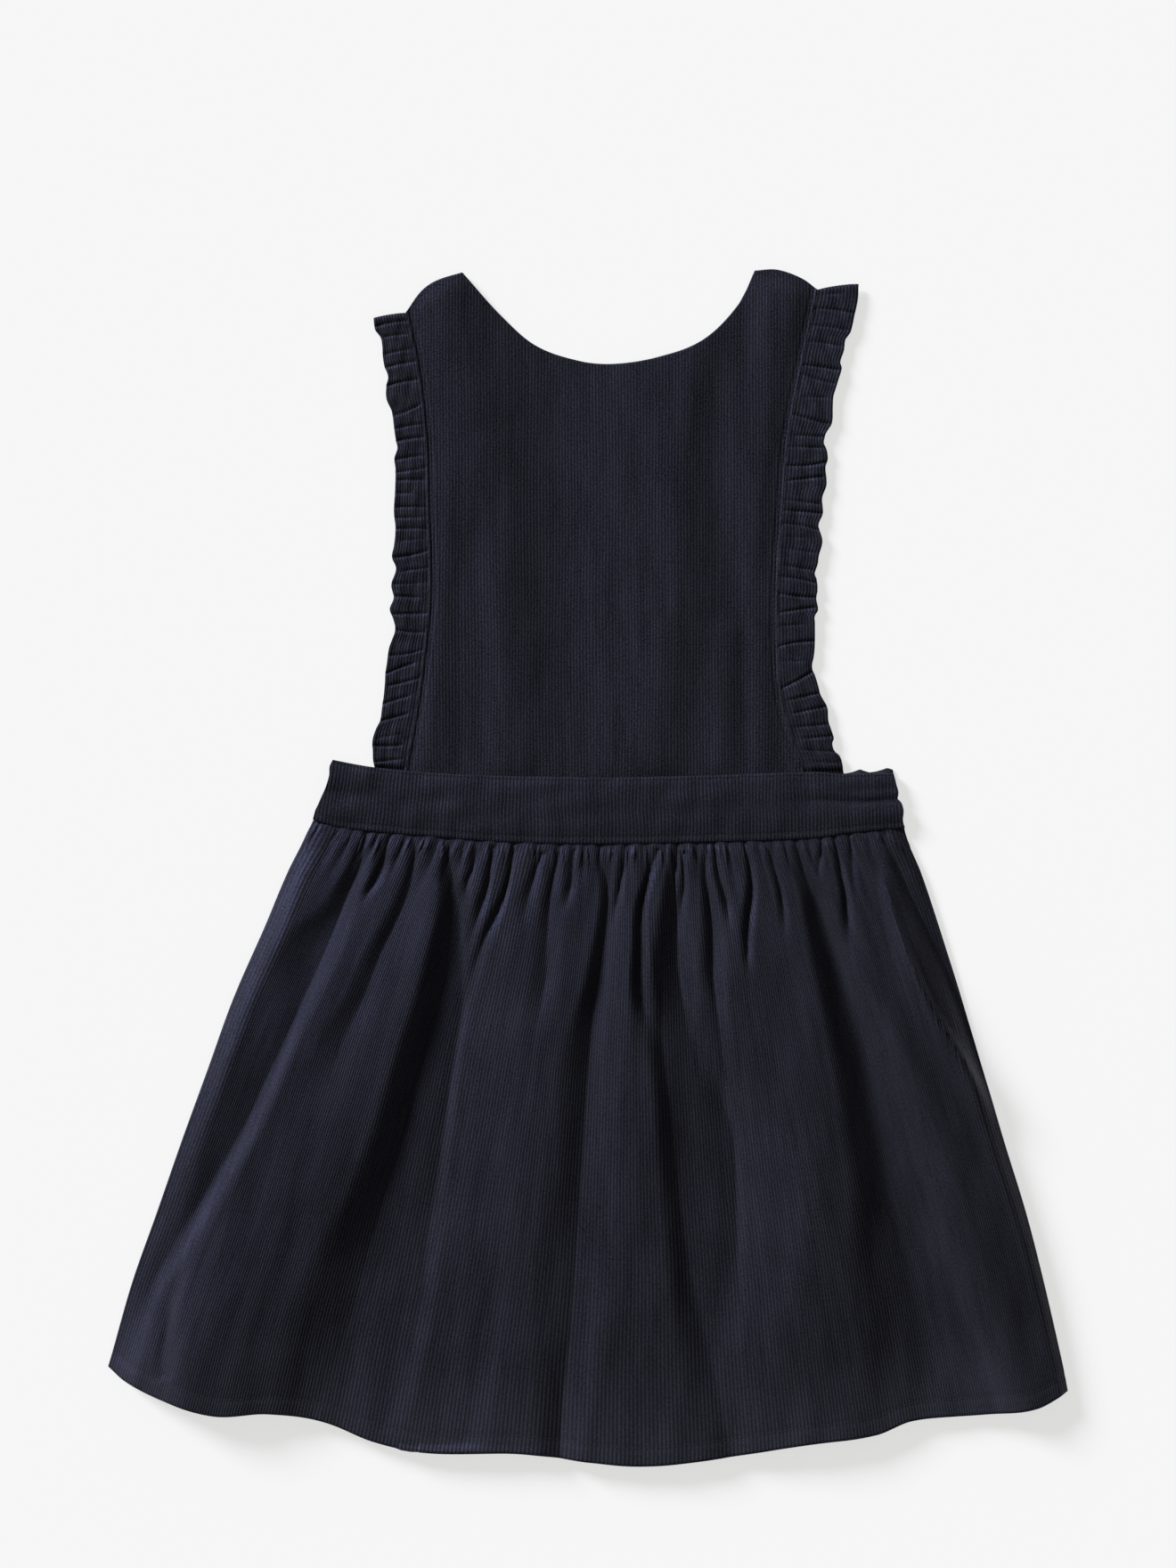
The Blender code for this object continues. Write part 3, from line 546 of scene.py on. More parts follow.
@dataclass(frozen=True)
class Patch:
    """A flat patch between four edge curves that meet at their corners (a Coons patch)."""

    top: Curve
    bottom: Curve
    left: Curve
    right: Curve

    @classmethod
    def between(
        cls,
        top: Curve,
        bottom: Curve,
        rows: Rows = (),
        inset: float = 0.0,
        follow: tuple[int, ...] = (1, 2),
    ) -> "Patch":
        """Joins the ends of two edges by sides that follow a table or are straight.

        Args:
            top: the upper edge.
            bottom: the lower edge.
            rows: table of (up, left x, right x).
            inset: how far the sides lie inside the table's, in mm.
            follow: the columns that have a side following them; the other side is straight.

        Returns:
            The patch.
        """
        sides = []
        for column, start, end in zip((1, 2), ends(top), ends(bottom)):
            if column in follow:
                inward = -OUTWARD[column - 1] * inset
                sides.append(edge_down(rows, column, start, end, inward))
            else:
                sides.append(straight(start, end))
        return cls(top, bottom, *sides)

    def at(self, u: Array, v: Array) -> Array:
        """Flat place of (u, v).

        The mix of top and bottom, plus the mix of left and right, less the mix of the corners.

        Args:
            u: shares across, 0 at the left edge.
            v: shares down, 0 at the top edge, in the shape of u.

        Returns:
            Places (x, y) with one more axis than u.
        """
        zero, one = np.zeros(1), np.ones(1)
        across = mix(self.top(u), self.bottom(u), v[..., None])
        down = mix(self.left(v), self.right(v), u[..., None])
        upper = mix(self.top(zero), self.top(one), u[..., None])
        lower = mix(self.bottom(zero), self.bottom(one), u[..., None])
        return across + down - mix(upper, lower, v[..., None])


def uneven(bounds: Array, phase: Array) -> Array:
    """Where a phase, counted in folds, falls between the folds' uneven bounds."""
    return np.interp(phase, np.arange(len(bounds)), bounds)


# ---- meshes ----


class RightSide(Enum):
    """Which side of a shell is the cloth's right side, with the ribs on it."""

    UP = 1
    DOWN = -1


def grid_normals(points: Array) -> Array:
    """Unit normals of a grid whose rows run towards -Y: across-step times up-step, crossed."""
    return unit(np.cross(np.gradient(points, axis=1), -np.gradient(points, axis=0)))


def grid_faces(index: Array) -> Array:
    """Quads of a grid of vertex numbers, seen anticlockwise from above."""
    corners = index[:-1, :-1], index[1:, :-1], index[1:, 1:], index[:-1, 1:]
    return np.stack(corners, axis=-1).reshape(-1, 4)


def grid_border(index: Array) -> Array:
    """Vertex numbers round a grid's border, anticlockwise from above, without the repeat."""
    sides = index[:-1, 0], index[-1, :-1], index[:0:-1, -1], index[0, :0:-1]
    return np.concatenate(sides)


@dataclass
class Shell:
    """A closed wall of cloth: a fine grid on its right side and a coarse one on its wrong side.

    Attributes:
        name: the piece's name.
        middle: grid of places on the cloth's middle surface, rows towards -Y, in mm.
        relief: height of the right side above half the wall, in the shape of the grid.
        rib: share from 0 in a groove to 1 on a rib's top.
        cord: places across and along the cloth, in mm, for its texture.
        wall: thickness in mm.
        side: which side is the right side.
        coarse: step of the wrong side's grid, in rows and in columns of the fine one.
        upright: the wall is measured straight up, and not square to the cloth.
        lightening: how much paler the cloth is made, if it is made paler anywhere.
    """

    name: str
    middle: Array
    relief: Array
    rib: Array
    cord: Array
    wall: float = FRONT_WALL
    side: RightSide = RightSide.UP
    coarse: tuple[int, int] = (2, 8)
    upright: bool = False
    lightening: Array | None = None

    def build(self) -> Object:
        """Makes the mesh object, at the origin.

        The right side is the middle moved out by half the wall and the relief, and the wrong
        side is every few rows and columns of the middle moved the other way. A strip of quads
        and triangles joins their borders.

        Returns:
            The object, closed and shaded smooth.
        """
        shape = self.relief.shape
        normals = grid_normals(self.middle)
        if self.upright:
            normals = np.broadcast_to(UP, self.middle.shape)
        way = self.side.value
        fine = self.middle + way * normals * (self.wall / 2 + self.relief)[..., None]
        picks = [
            np.unique(np.append(np.arange(0, size, step), size - 1))
            for size, step in zip(shape, self.coarse)
        ]
        pick = np.ix_(*picks)
        plain = self.middle[pick] - way * normals[pick] * (self.wall / 2)
        plain_count = plain[..., 0].size

        fine_index = np.arange(fine[..., 0].size).reshape(shape)
        plain_index = fine_index.size + np.arange(plain_count).reshape(plain.shape[:2])
        nearest = [
            np.searchsorted((kept[1:] + kept[:-1]) / 2, np.arange(size))
            for size, kept in zip(shape, picks)
        ]
        loop = grid_border(fine_index)
        facing = grid_border(plain_index[np.ix_(*nearest)])
        after, facing_after = np.roll(loop, -1), np.roll(facing, -1)
        rim = np.stack([loop, facing, facing_after, after], axis=-1)
        same = facing == facing_after
        quads = np.concatenate(
            [grid_faces(fine_index), grid_faces(plain_index)[:, ::-1], rim[~same]]
        )
        triangles = rim[same][:, [0, 1, 3]]
        if self.side is RightSide.DOWN:
            quads, triangles = quads[:, ::-1], triangles[:, ::-1]
        points = np.concatenate([fine.reshape(-1, 3), plain.reshape(-1, 3)])
        values = {"rib": np.append(self.rib, np.full(plain_count, PLAIN_RIB))}
        if self.lightening is not None:
            values["lightening"] = np.append(self.lightening, np.zeros(plain_count))
        cord = np.concatenate([self.cord.reshape(-1, 2), self.cord[pick].reshape(-1, 2)])
        return mesh_object(self.name, points, quads, triangles, values, cord)


def mesh_object(
    name: str,
    points: Array,
    quads: Array,
    triangles: Array | None = None,
    values: dict[str, Array] | None = None,
    cord: Array | None = None,
) -> Object:
    """Makes a smooth mesh object from arrays of points in mm and of faces.

    Args:
        name: name of the object and of its mesh.
        points: places of the vertices, in mm.
        quads: vertex numbers of the four-sided faces.
        triangles: vertex numbers of the three-sided faces, if any.
        values: the vertices' attributes, by name.
        cord: places across and along the cloth in mm, kept as the UV map "cord".

    Returns:
        The object, linked to the scene.
    """
    if triangles is None:
        triangles = np.zeros((0, 3), int)
    mesh = bpy.data.meshes.new(name)
    mesh.vertices.add(len(points))
    mesh.vertices.foreach_set("co", (points * MM).astype(np.float32).ravel())
    corners = np.concatenate([quads.ravel(), triangles.ravel()]).astype(np.int32)
    starts = np.concatenate(
        [np.arange(len(quads)) * 4, quads.size + np.arange(len(triangles)) * 3]
    ).astype(np.int32)
    mesh.loops.add(len(corners))
    mesh.loops.foreach_set("vertex_index", corners)
    mesh.polygons.add(len(starts))
    mesh.polygons.foreach_set("loop_start", starts)
    mesh.polygons.foreach_set("use_smooth", np.ones(len(starts), bool))
    mesh.update(calc_edges=True)
    for key, value in (values or {}).items():
        attribute = mesh.attributes.new(key, "FLOAT", "POINT")
        attribute.data.foreach_set("value", value.astype(np.float32))
    if cord is not None:
        layer = mesh.uv_layers.new(name="cord")
        layer.uv.foreach_set("vector", (cord * MM)[corners].astype(np.float32).ravel())
    piece = bpy.data.objects.new(name, mesh)
    bpy.context.scene.collection.objects.link(piece)
    return piece


def weld(piece: Object, distance: float = 0.002) -> None:
    """Joins vertices nearer than a distance in mm, which takes away faces with no area."""
    mesh = bmesh.new()
    mesh.from_mesh(piece.data)
    bmesh.ops.remove_doubles(mesh, verts=mesh.verts, dist=distance * MM)
    bmesh.ops.dissolve_degenerate(mesh, edges=mesh.edges, dist=distance * MM / 2)
    mesh.to_mesh(piece.data)
    mesh.free()


# ---- finishes ----


def linear(colour: str) -> tuple[float, float, float, float]:
    """An sRGB hex colour as the linear colour that a shader takes."""
    channels = [int(colour[k : k + 2], 16) / 255 for k in (1, 3, 5)]
    return (*(c / 12.92 if c <= 0.04045 else ((c + 0.055) / 1.055) ** 2.4 for c in channels), 1.0)


def set_inputs(tree: Tree, node: Node, inputs: dict) -> None:
    """Sets a node's sockets by name or number, to a value or by a link from an output."""
    for key, value in inputs.items():
        if isinstance(value, Socket):
            tree.links.new(value, node.inputs[key])
        else:
            node.inputs[key].default_value = value


def add_node(
    tree: Tree, kind: str, settings: dict | None = None, inputs: dict | None = None
) -> Node:
    """Adds a shader node.

    Args:
        tree: the material's tree.
        kind: the node's type, without "ShaderNode".
        settings: the node's own properties.
        inputs: its sockets, as for set_inputs.

    Returns:
        The node.
    """
    node = tree.nodes.new("ShaderNode" + kind)
    for key, value in (settings or {}).items():
        setattr(node, key, value)
    set_inputs(tree, node, inputs or {})
    return node


def calculate(tree: Tree, operation: str, *values: object, clamp: bool = False) -> Socket:
    """Adds a maths node on values or other nodes' outputs, and gives its output."""
    settings = {"operation": operation, "use_clamp": clamp}
    return add_node(tree, "Math", settings, dict(enumerate(values))).outputs["Value"]


def blend(tree: Tree, share: Socket, low: str, high: str) -> Socket:
    """Adds a mix of two hex colours, and gives its output."""
    inputs = {"Factor": share, "A": linear(low), "B": linear(high)}
    return add_node(tree, "Mix", {"data_type": "RGBA"}, inputs).outputs["Result"]


def new_material(name: str) -> tuple[Material, Tree, Node]:
    """Makes a material, and gives it, its tree and its Principled shader."""
    material = bpy.data.materials.new(name)
    material.use_nodes = True
    return material, material.node_tree, material.node_tree.nodes["Principled BSDF"]


@dataclass(frozen=True)
class Noise:
    """A noise texture on the cloth.

    Attributes:
        size_mm: size of its patches across the ribs.
        detail: how many finer layers it has.
        roughness: how strong the finer layers are.
        stretch: scale along the ribs, as a share of the scale across them.
    """

    size_mm: float
    detail: float
    roughness: float = 0.5
    stretch: float = 1.0

    def add(self, tree: Tree, cord: Socket) -> Socket:
        """Adds the texture on a map of places on the cloth, and gives its output."""
        scale = {"Vector": cord, "Scale": (1.0, self.stretch, 1.0)}
        inputs = {
            "Vector": add_node(tree, "Mapping", inputs=scale).outputs["Vector"],
            "Scale": 1 / (self.size_mm * MM),
            "Detail": self.detail,
            "Roughness": self.roughness,
        }
        return add_node(tree, "TexNoise", inputs=inputs).outputs["Fac"]


@dataclass(frozen=True)
class Needlecord:
    """Cotton needlecord: woven ground with ribs of short cut pile, coloured in the piece, brushed.

    The pile swallows light that meets it end on and glints at a slant, so the cloth is nearly
    black from above, bluish on the flanks of folds, and streaked where the pile lies unevenly.
    Its colour darkens down into the grooves between the ribs as painted shade.
    """

    name: str = "cotton_needlecord"
    # Colours in the grooves and on the ribs' tops; the groove colour is darker as painted shade.
    groove: str = "#131315"
    rib: str = "#232325"
    glint: str = "#8f98e4"
    glint_level: float = 0.21
    roughness: float = 0.54
    sheen: str = "#949cc8"
    sheen_weight: float = 0.08
    sheen_roughness: float = 0.5
    fibres: Noise = Noise(0.35, 3.0, 0.65, 0.3)
    fibre_share: float = 0.7
    streaks: Noise = Noise(9.0, 4.0, 0.85, 0.12)
    streak: float = 1.3
    streak_level: float = -0.7
    clouds: Noise = Noise(28.0, 2.0)
    cloud: float = 0.3
    tufts: Noise = Noise(1.1, 2.0, 0.7)
    grain: float = 1.7
    level: float = 0.8
    bump: float = 0.55
    bump_mm: float = 0.12

    def material(self) -> Material:
        """Makes the node material.

        It reads the attributes "rib" and "worn" and the UV map "cord".
        """
        material, tree, shader = new_material(self.name)
        rib = add_node(tree, "Attribute", {"attribute_name": "rib"}).outputs["Fac"]
        lightening = add_node(tree, "Attribute", {"attribute_name": "lightening"}).outputs["Fac"]
        cord = add_node(tree, "UVMap", {"uv_map": "cord"}).outputs["UV"]
        fuzz = self.fibres.add(tree, cord)
        streak = self.streaks.add(tree, cord)
        cloud = self.clouds.add(tree, cord)
        grain = self.tufts.add(tree, cord)
        # Share of pile colour: the rib's profile, roughened by the fibres. The darker groove
        # colour mixed in below it is painted shade between the ribs, over the ground cloth's own
        # colour.
        rough_rib = calculate(
            tree, "MULTIPLY_ADD", fuzz, self.fibre_share, -self.fibre_share / 2
        )
        pile = calculate(tree, "ADD", rib, rough_rib, clamp=True)
        # The cloth's colour, darkened down into the grooves with painted shade.
        dye_and_groove_shade = blend(tree, pile, self.groove, self.rib)
        # Brushed streaks, broad clouds and single tufts lighten and darken the pile, and a vertex
        # attribute makes it paler, on the skirt front towards the hem.
        brushed = calculate(tree, "MULTIPLY_ADD", streak, self.streak, self.streak_level)
        clouded = calculate(tree, "MULTIPLY_ADD", cloud, self.cloud, self.level - self.grain / 2)
        tufted = calculate(tree, "MULTIPLY_ADD", grain, self.grain, clouded)
        streaked_and_lightened = calculate(tree, "ADD", brushed, lightening)
        strength = calculate(tree, "ADD", streaked_and_lightened, tufted)
        shaded = add_node(
            tree, "VectorMath", {"operation": "SCALE"}, {"Vector": dye_and_groove_shade, "Scale": strength}
        )
        relief = {"Strength": self.bump, "Distance": self.bump_mm * MM, "Height": fuzz}
        finish = {
            "Base Color": shaded.outputs["Vector"],
            "Normal": add_node(tree, "Bump", inputs=relief).outputs["Normal"],
            "Roughness": self.roughness,
            "Specular IOR Level": calculate(tree, "MULTIPLY", strength, self.glint_level),
            "Specular Tint": linear(self.glint),
            "Sheen Weight": self.sheen_weight,
            "Sheen Roughness": self.sheen_roughness,
            "Sheen Tint": linear(self.sheen),
        }
        set_inputs(tree, shader, finish)
        return material


@dataclass(frozen=True)
class SewingThread:
    """Spun polyester thread, twisted from two plies, close to the cloth in colour."""

    name: str = "spun_polyester_thread"
    dye: str = "#1b1c26"
    shadow: str = "#111218"
    twist_mm: float = 0.5
    bands_per_twist: float = 0.3
    roughness: float = 0.7
    gloss: float = 0.22
    sheen: float = 0.1

    def material(self) -> Material:
        """Makes the node material: slanted bands of light and dark stand for the plies."""
        material, tree, shader = new_material(self.name)
        twist = {
            "Vector": add_node(tree, "TexCoord").outputs["Object"],
            "Scale": self.bands_per_twist / (self.twist_mm * MM),
        }
        plies = add_node(tree, "TexWave", {"bands_direction": "DIAGONAL"}, twist)
        finish = {
            "Base Color": blend(tree, plies.outputs["Fac"], self.shadow, self.dye),
            "Roughness": self.roughness,
            "Specular IOR Level": self.gloss,
            "Sheen Weight": self.sheen,
        }
        set_inputs(tree, shader, finish)
        return material


@dataclass(frozen=True)
class LightTable:
    """The matt white table that the dress lies on, lit a little from within."""

    name: str = "opal_acrylic"
    colour: str = "#878787"
    glow: float = 0.66

    def material(self) -> Material:
        """Makes the node material."""
        material, tree, shader = new_material(self.name)
        finish = {
            "Base Color": linear(self.colour),
            "Roughness": 1.0,
            "Specular IOR Level": 0.0,
            "Emission Color": linear("#ffffff"),
            "Emission Strength": self.glow,
        }
        set_inputs(tree, shader, finish)
        return material


# ---- the pieces ----


def ribs(count_across: Array) -> Array:
    """Height of the cord's ribs, 0 in a groove and 1 on top: (1 - cos) / 2 of the rib count."""
    return 0.5 - 0.5 * np.cos(2 * math.pi * count_across)


def finish_cloth(piece: Object, cord: Material, nodes: Sequence[str]) -> Object:
    """Gives a piece its cloth and its body, and hides the panels that it stands for."""
    piece.data.materials.append(cord)
    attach(piece, BODY)
    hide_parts(*nodes)
    LOG.info("%s: %d faces", piece.name, len(piece.data.polygons))
    return piece


@dataclass
class SkirtFront:
    """The gathered front of the skirt: gathers, large folds and the troughs between them."""

    # Crests of the gathers, in mm along the waist from its left end.
    gather_crests: tuple[float, ...] = (
        10.0, 17.0, 23.0, 28.5, 35.0, 41.0, 48.0, 56.5, 63.0, 69.0, 75.5, 82.5, 90.0,
        101.0, 110.5, 118.0, 124.0, 130.0, 136.0, 142.5, 150.0, 158.5, 167.0, 173.5,
        181.5, 188.5, 196.0, 203.0, 208.8, 214.5, 220.0, 225.5, 231.0, 237.0, 244.0,
        251.0, 258.5, 265.5,
    )  # fmt: skip
    gather_span: float = 273.0
    gather_pitch: float = 7.2
    gather_top: float = 0.75
    # fmt: off
    gather_rise: Rows = (
        # down from the waist seam, height
        (-2, 0.3), (0, 0.36), (4, 0.54), (8, 0.6), (16, 0.34), (28, 0),
    )
    puff: Rows = (
        # down from the waist seam, height
        (-2, 1), (0, 1.2), (4, 1.6), (10, 2.4), (25, 4.3), (60, 7.4), (120, 9.6), (200, 8.7),
        (250, 7), (290, 5.2),
    )
    turns: Rows = (
        # up, width over which the cloth rises at the left side, and at the right
        (-240, 14, 5), (-212, 14, 5), (-190, 13, 5), (-160, 12, 6), (-120, 9.5, 7), (-60, 10, 8),
        (20, 9, 8),
    )
    right_side: Rows = (
        # up, x where the low right side begins, its share of the puff
        (-270, 118, 0.95), (-220, 110, 0.94), (-180, 102, 0.92), (-140, 97, 0.9), (-110, 94, 0.9),
        (-60, 92, 0.94), (20, 92, 1),
    )
    # fmt: on
    gather_pinch: float = 0.5
    puckers: int = 96
    pucker_seed: int = 12
    pucker_zone: float = 20.0
    pucker_shift: float = 1.8
    pucker_fan: float = -0.004
    pucker_lean: float = 0.16
    pucker_width: Span = (0.8, 1.7)
    pucker_length: Span = (4.0, 16.0)
    pucker_height: Span = (0.25, 0.85)
    pucker_start: float = 4.5
    pucker_fade: float = 0.35
    tuck: float = 1.0
    turn_start: float = -3.0
    right_fall: float = 46.0
    edge_drop: float = 7.0
    gather_edge: Span = (-1.5, 1.5)
    side_bunching: float = 0.05
    fold_start: float = 0.125
    unevenness: Ripple = Ripple(0.22, 26.0, 5, 0.35)
    uneven_below: Span = (4.0, 30.0)
    uneven_inside: float = 9.0
    creases: tuple[Crease, ...] = SKIRT_CREASES
    crease_above: float = 6.0
    least_puff: float = 0.03
    rib_count: int = 302
    samples_per_rib: int = 4
    # Shares of the length where each run of rows begins and ends, and its number of rows.
    row_runs: tuple[Run, ...] = (
        (0.0, 0.036, 11), (0.036, 0.11, 13), (0.11, 0.28, 12), (0.28, 0.95, 28), (0.95, 1.0, 9)
    )  # fmt: skip
    length: float = 287.0
    hem_fold: float = 8.5
    stitch_width: float = 0.9
    stitch_depth: float = 0.35
    stitch_flat: float = 0.6
    # The cloth grows paler towards the hem: by how much, and where it begins and is full, in mm.
    hem_lightening: float = 0.45
    lightening_zone: Span = (52.0, -10.0)
    cut: Span = (0.50, 0.30)

    def gather_bounds(self) -> Array:
        """Valleys between the gathers as shares of the waist, with both ends."""
        crests = np.array(self.gather_crests)
        valleys = (crests[1:] + crests[:-1]) / 2 / self.gather_span
        return np.concatenate([[0.0], valleys, [1.0]])

    def phase(self, u: Array) -> Array:
        """The place across the cloth counted in gathers."""
        return mix(self.fold_start, len(self.gather_crests), u)

    def outline(self) -> Patch:
        """The flat outline, gathered unevenly at the waist and evenly at the hem."""
        bounds = self.gather_bounds()
        start = uneven(bounds, self.phase(np.zeros(1)))

        def waist_share(u: Array) -> Array:
            return (uneven(bounds, self.phase(u)) - start) / (1 - start)

        def hem_share(u: Array) -> Array:
            return u - self.side_bunching * np.sin(2 * math.pi * u)

        left, right = BAND_BOTTOM[0][0] + self.tuck / 2, BAND_BOTTOM[-1][0] - self.tuck / 2
        top = edge_along(left, right, BAND_BOTTOM, -self.tuck, waist_share)
        bottom = edge_along(HEM[0][0], HEM[-1][0], HEM, spread=hem_share)
        return Patch.between(top, bottom, SKIRT_SIDES)

    def pressed(self, x: Array, y: Array) -> Array:
        """Share of the puff that is left between the creases.

        Each crease runs down its own smooth line and presses the cloth by its depth times a
        valley over the flank's width. On a right flank with a floor the valley starts at the
        floor's far end, after a step.
        """
        left = np.ones_like(x)
        for crease in self.creases:
            near = (y > crease.rows[0][0]) & (y < crease.rows[-1][0] + self.crease_above)
            at = y[near]
            off = x[near] - through(crease.rows, at)
            fall, rise, depth = lookup(crease.rows, at, 2, 3, 4)
            t = np.minimum(np.abs(off) / np.where(off < 0, fall, rise), 1.0)
            press = hump(t) if crease.rounded else valley(t)
            if crease.floor:
                ramp = np.maximum(t - crease.floor, 0.0) / (1 - crease.floor)
                rising = (1 + crease.tilt - crease.step) * valley(ramp)
                rising += crease.step * (1 - ease(0.0, crease.step_width, ramp))
                floor = 1 + crease.tilt * t / crease.floor
                press = np.where(off < 0, press, np.where(t < crease.floor, floor, rising))
            left[near] *= np.maximum(1 - depth * press, self.least_puff)
        return left

    def pucker(self, x: Array, down: Array) -> Array:
        """Height of the small uneven puckers just below the seam.

        Each is a ridge with its own place, lean, width, length and height, which runs out
        smoothly at both ends.
        """
        random = np.random.default_rng(self.pucker_seed)
        width = BAND_BOTTOM[-1][0] - BAND_BOTTOM[0][0]
        starts = BAND_BOTTOM[0][0] + (np.arange(self.puckers) + 0.5) * width / self.puckers
        near = down < self.pucker_zone
        at, below = x[near], np.maximum(down[near], 0.0)
        total = np.zeros_like(at)
        for start in starts:
            place = start + random.uniform(-self.pucker_shift, self.pucker_shift)
            lean = self.pucker_fan * place + random.uniform(-self.pucker_lean, self.pucker_lean)
            half_width = random.uniform(*self.pucker_width)
            length = random.uniform(*self.pucker_length)
            height = random.uniform(*self.pucker_height)
            off = np.abs(at - place + lean * below) / half_width
            fade = ease(0.0, self.pucker_start, below)
            fade = fade * (1 - ease(self.pucker_fade * length, length, below))
            total += height * fade * hump(off)
        height = np.zeros_like(x)
        height[near] = total
        return height

    def middle(self, u: Array, v: Array) -> Array:
        """Middle surface of the cloth at shares across and down, in mm."""
        outline = self.outline()
        flat = outline.at(u, v)
        x, y = flat[..., 0], flat[..., 1]
        from_left = x - outline.at(np.zeros_like(u), v)[..., 0]
        from_right = outline.at(np.ones_like(u), v)[..., 0] - x
        from_side = np.minimum(from_left, from_right)
        down = through(BAND_BOTTOM, x) - y
        puff = np.maximum(through(self.puff, down), 0.0)
        puff *= ease(self.turn_start, through(self.turns, y, 1), from_left)
        puff *= ease(self.turn_start, through(self.turns, y, 2), from_right)
        puff *= self.pressed(x, y)
        at, kept = lookup(self.right_side, y, 1, 2)
        puff *= 1 - (1 - kept) * ease(0.0, self.right_fall, x - at)

        phase = self.phase(u)
        bounds = self.gather_bounds()
        fold = np.clip(phase.astype(int), 0, len(self.gather_crests) - 1)
        pitch = (bounds[fold + 1] - bounds[fold]) * self.gather_span
        rise = np.where(down < self.gather_rise[-1][0], through(self.gather_rise, down), 0.0)
        fade = np.maximum(rise, 0.0) / self.gather_top
        at_edge = ease(*self.gather_edge, from_side)
        gather = fade * self.gather_top * np.minimum(pitch / self.gather_pitch, 1.0) * ribs(phase)
        gather = gather + self.pucker(x, down)
        pinch = self.gather_pinch * pitch / (2 * math.pi) * np.sin(2 * math.pi * phase)
        x = x - pinch * np.clip(fade, 0.0, 1.0) * at_edge

        level = UPPER_LAYER + FRONT_WALL / 2
        drop = (level - FRONT_WALL) * (1 - ease(0.0, self.edge_drop, from_side))
        uneven_lie = self.unevenness.at(x, y) * ease(*self.uneven_below, down)
        uneven_lie = uneven_lie * ease(0.0, self.uneven_inside, from_side)
        z = level - drop + puff + gather * at_edge + uneven_lie
        return np.stack([x, y, z], axis=-1)

    def build(self, cord: Material) -> None:
        """Builds and dresses the piece."""
        u = np.linspace(0.0, 1.0, self.rib_count * self.samples_per_rib + 1)
        v_grid, u_grid = grid(stretches(*self.row_runs), u)
        rib = ribs(u_grid * self.rib_count)
        from_hem = (1 - v_grid) * self.length
        stitch = bell(from_hem, self.hem_fold, self.stitch_width)
        relief = RIB_HEIGHT * (rib - 1) * (1 - self.stitch_flat * stitch)
        relief = relief - self.stitch_depth * stitch
        place = np.stack([u_grid * self.rib_count * RIB_PITCH, v_grid * self.length], axis=-1)
        shell = Shell(
            "skirt_front_cloth",
            self.middle(u_grid, v_grid),
            relief,
            rib,
            place,
            coarse=(2, 10),
            # The skirt is made paler towards its hem.
            lightening=self.hem_lightening * ease(*self.lightening_zone, from_hem),
        )
        piece = finish_cloth(shell.build(), cord, ["skirt_front"])


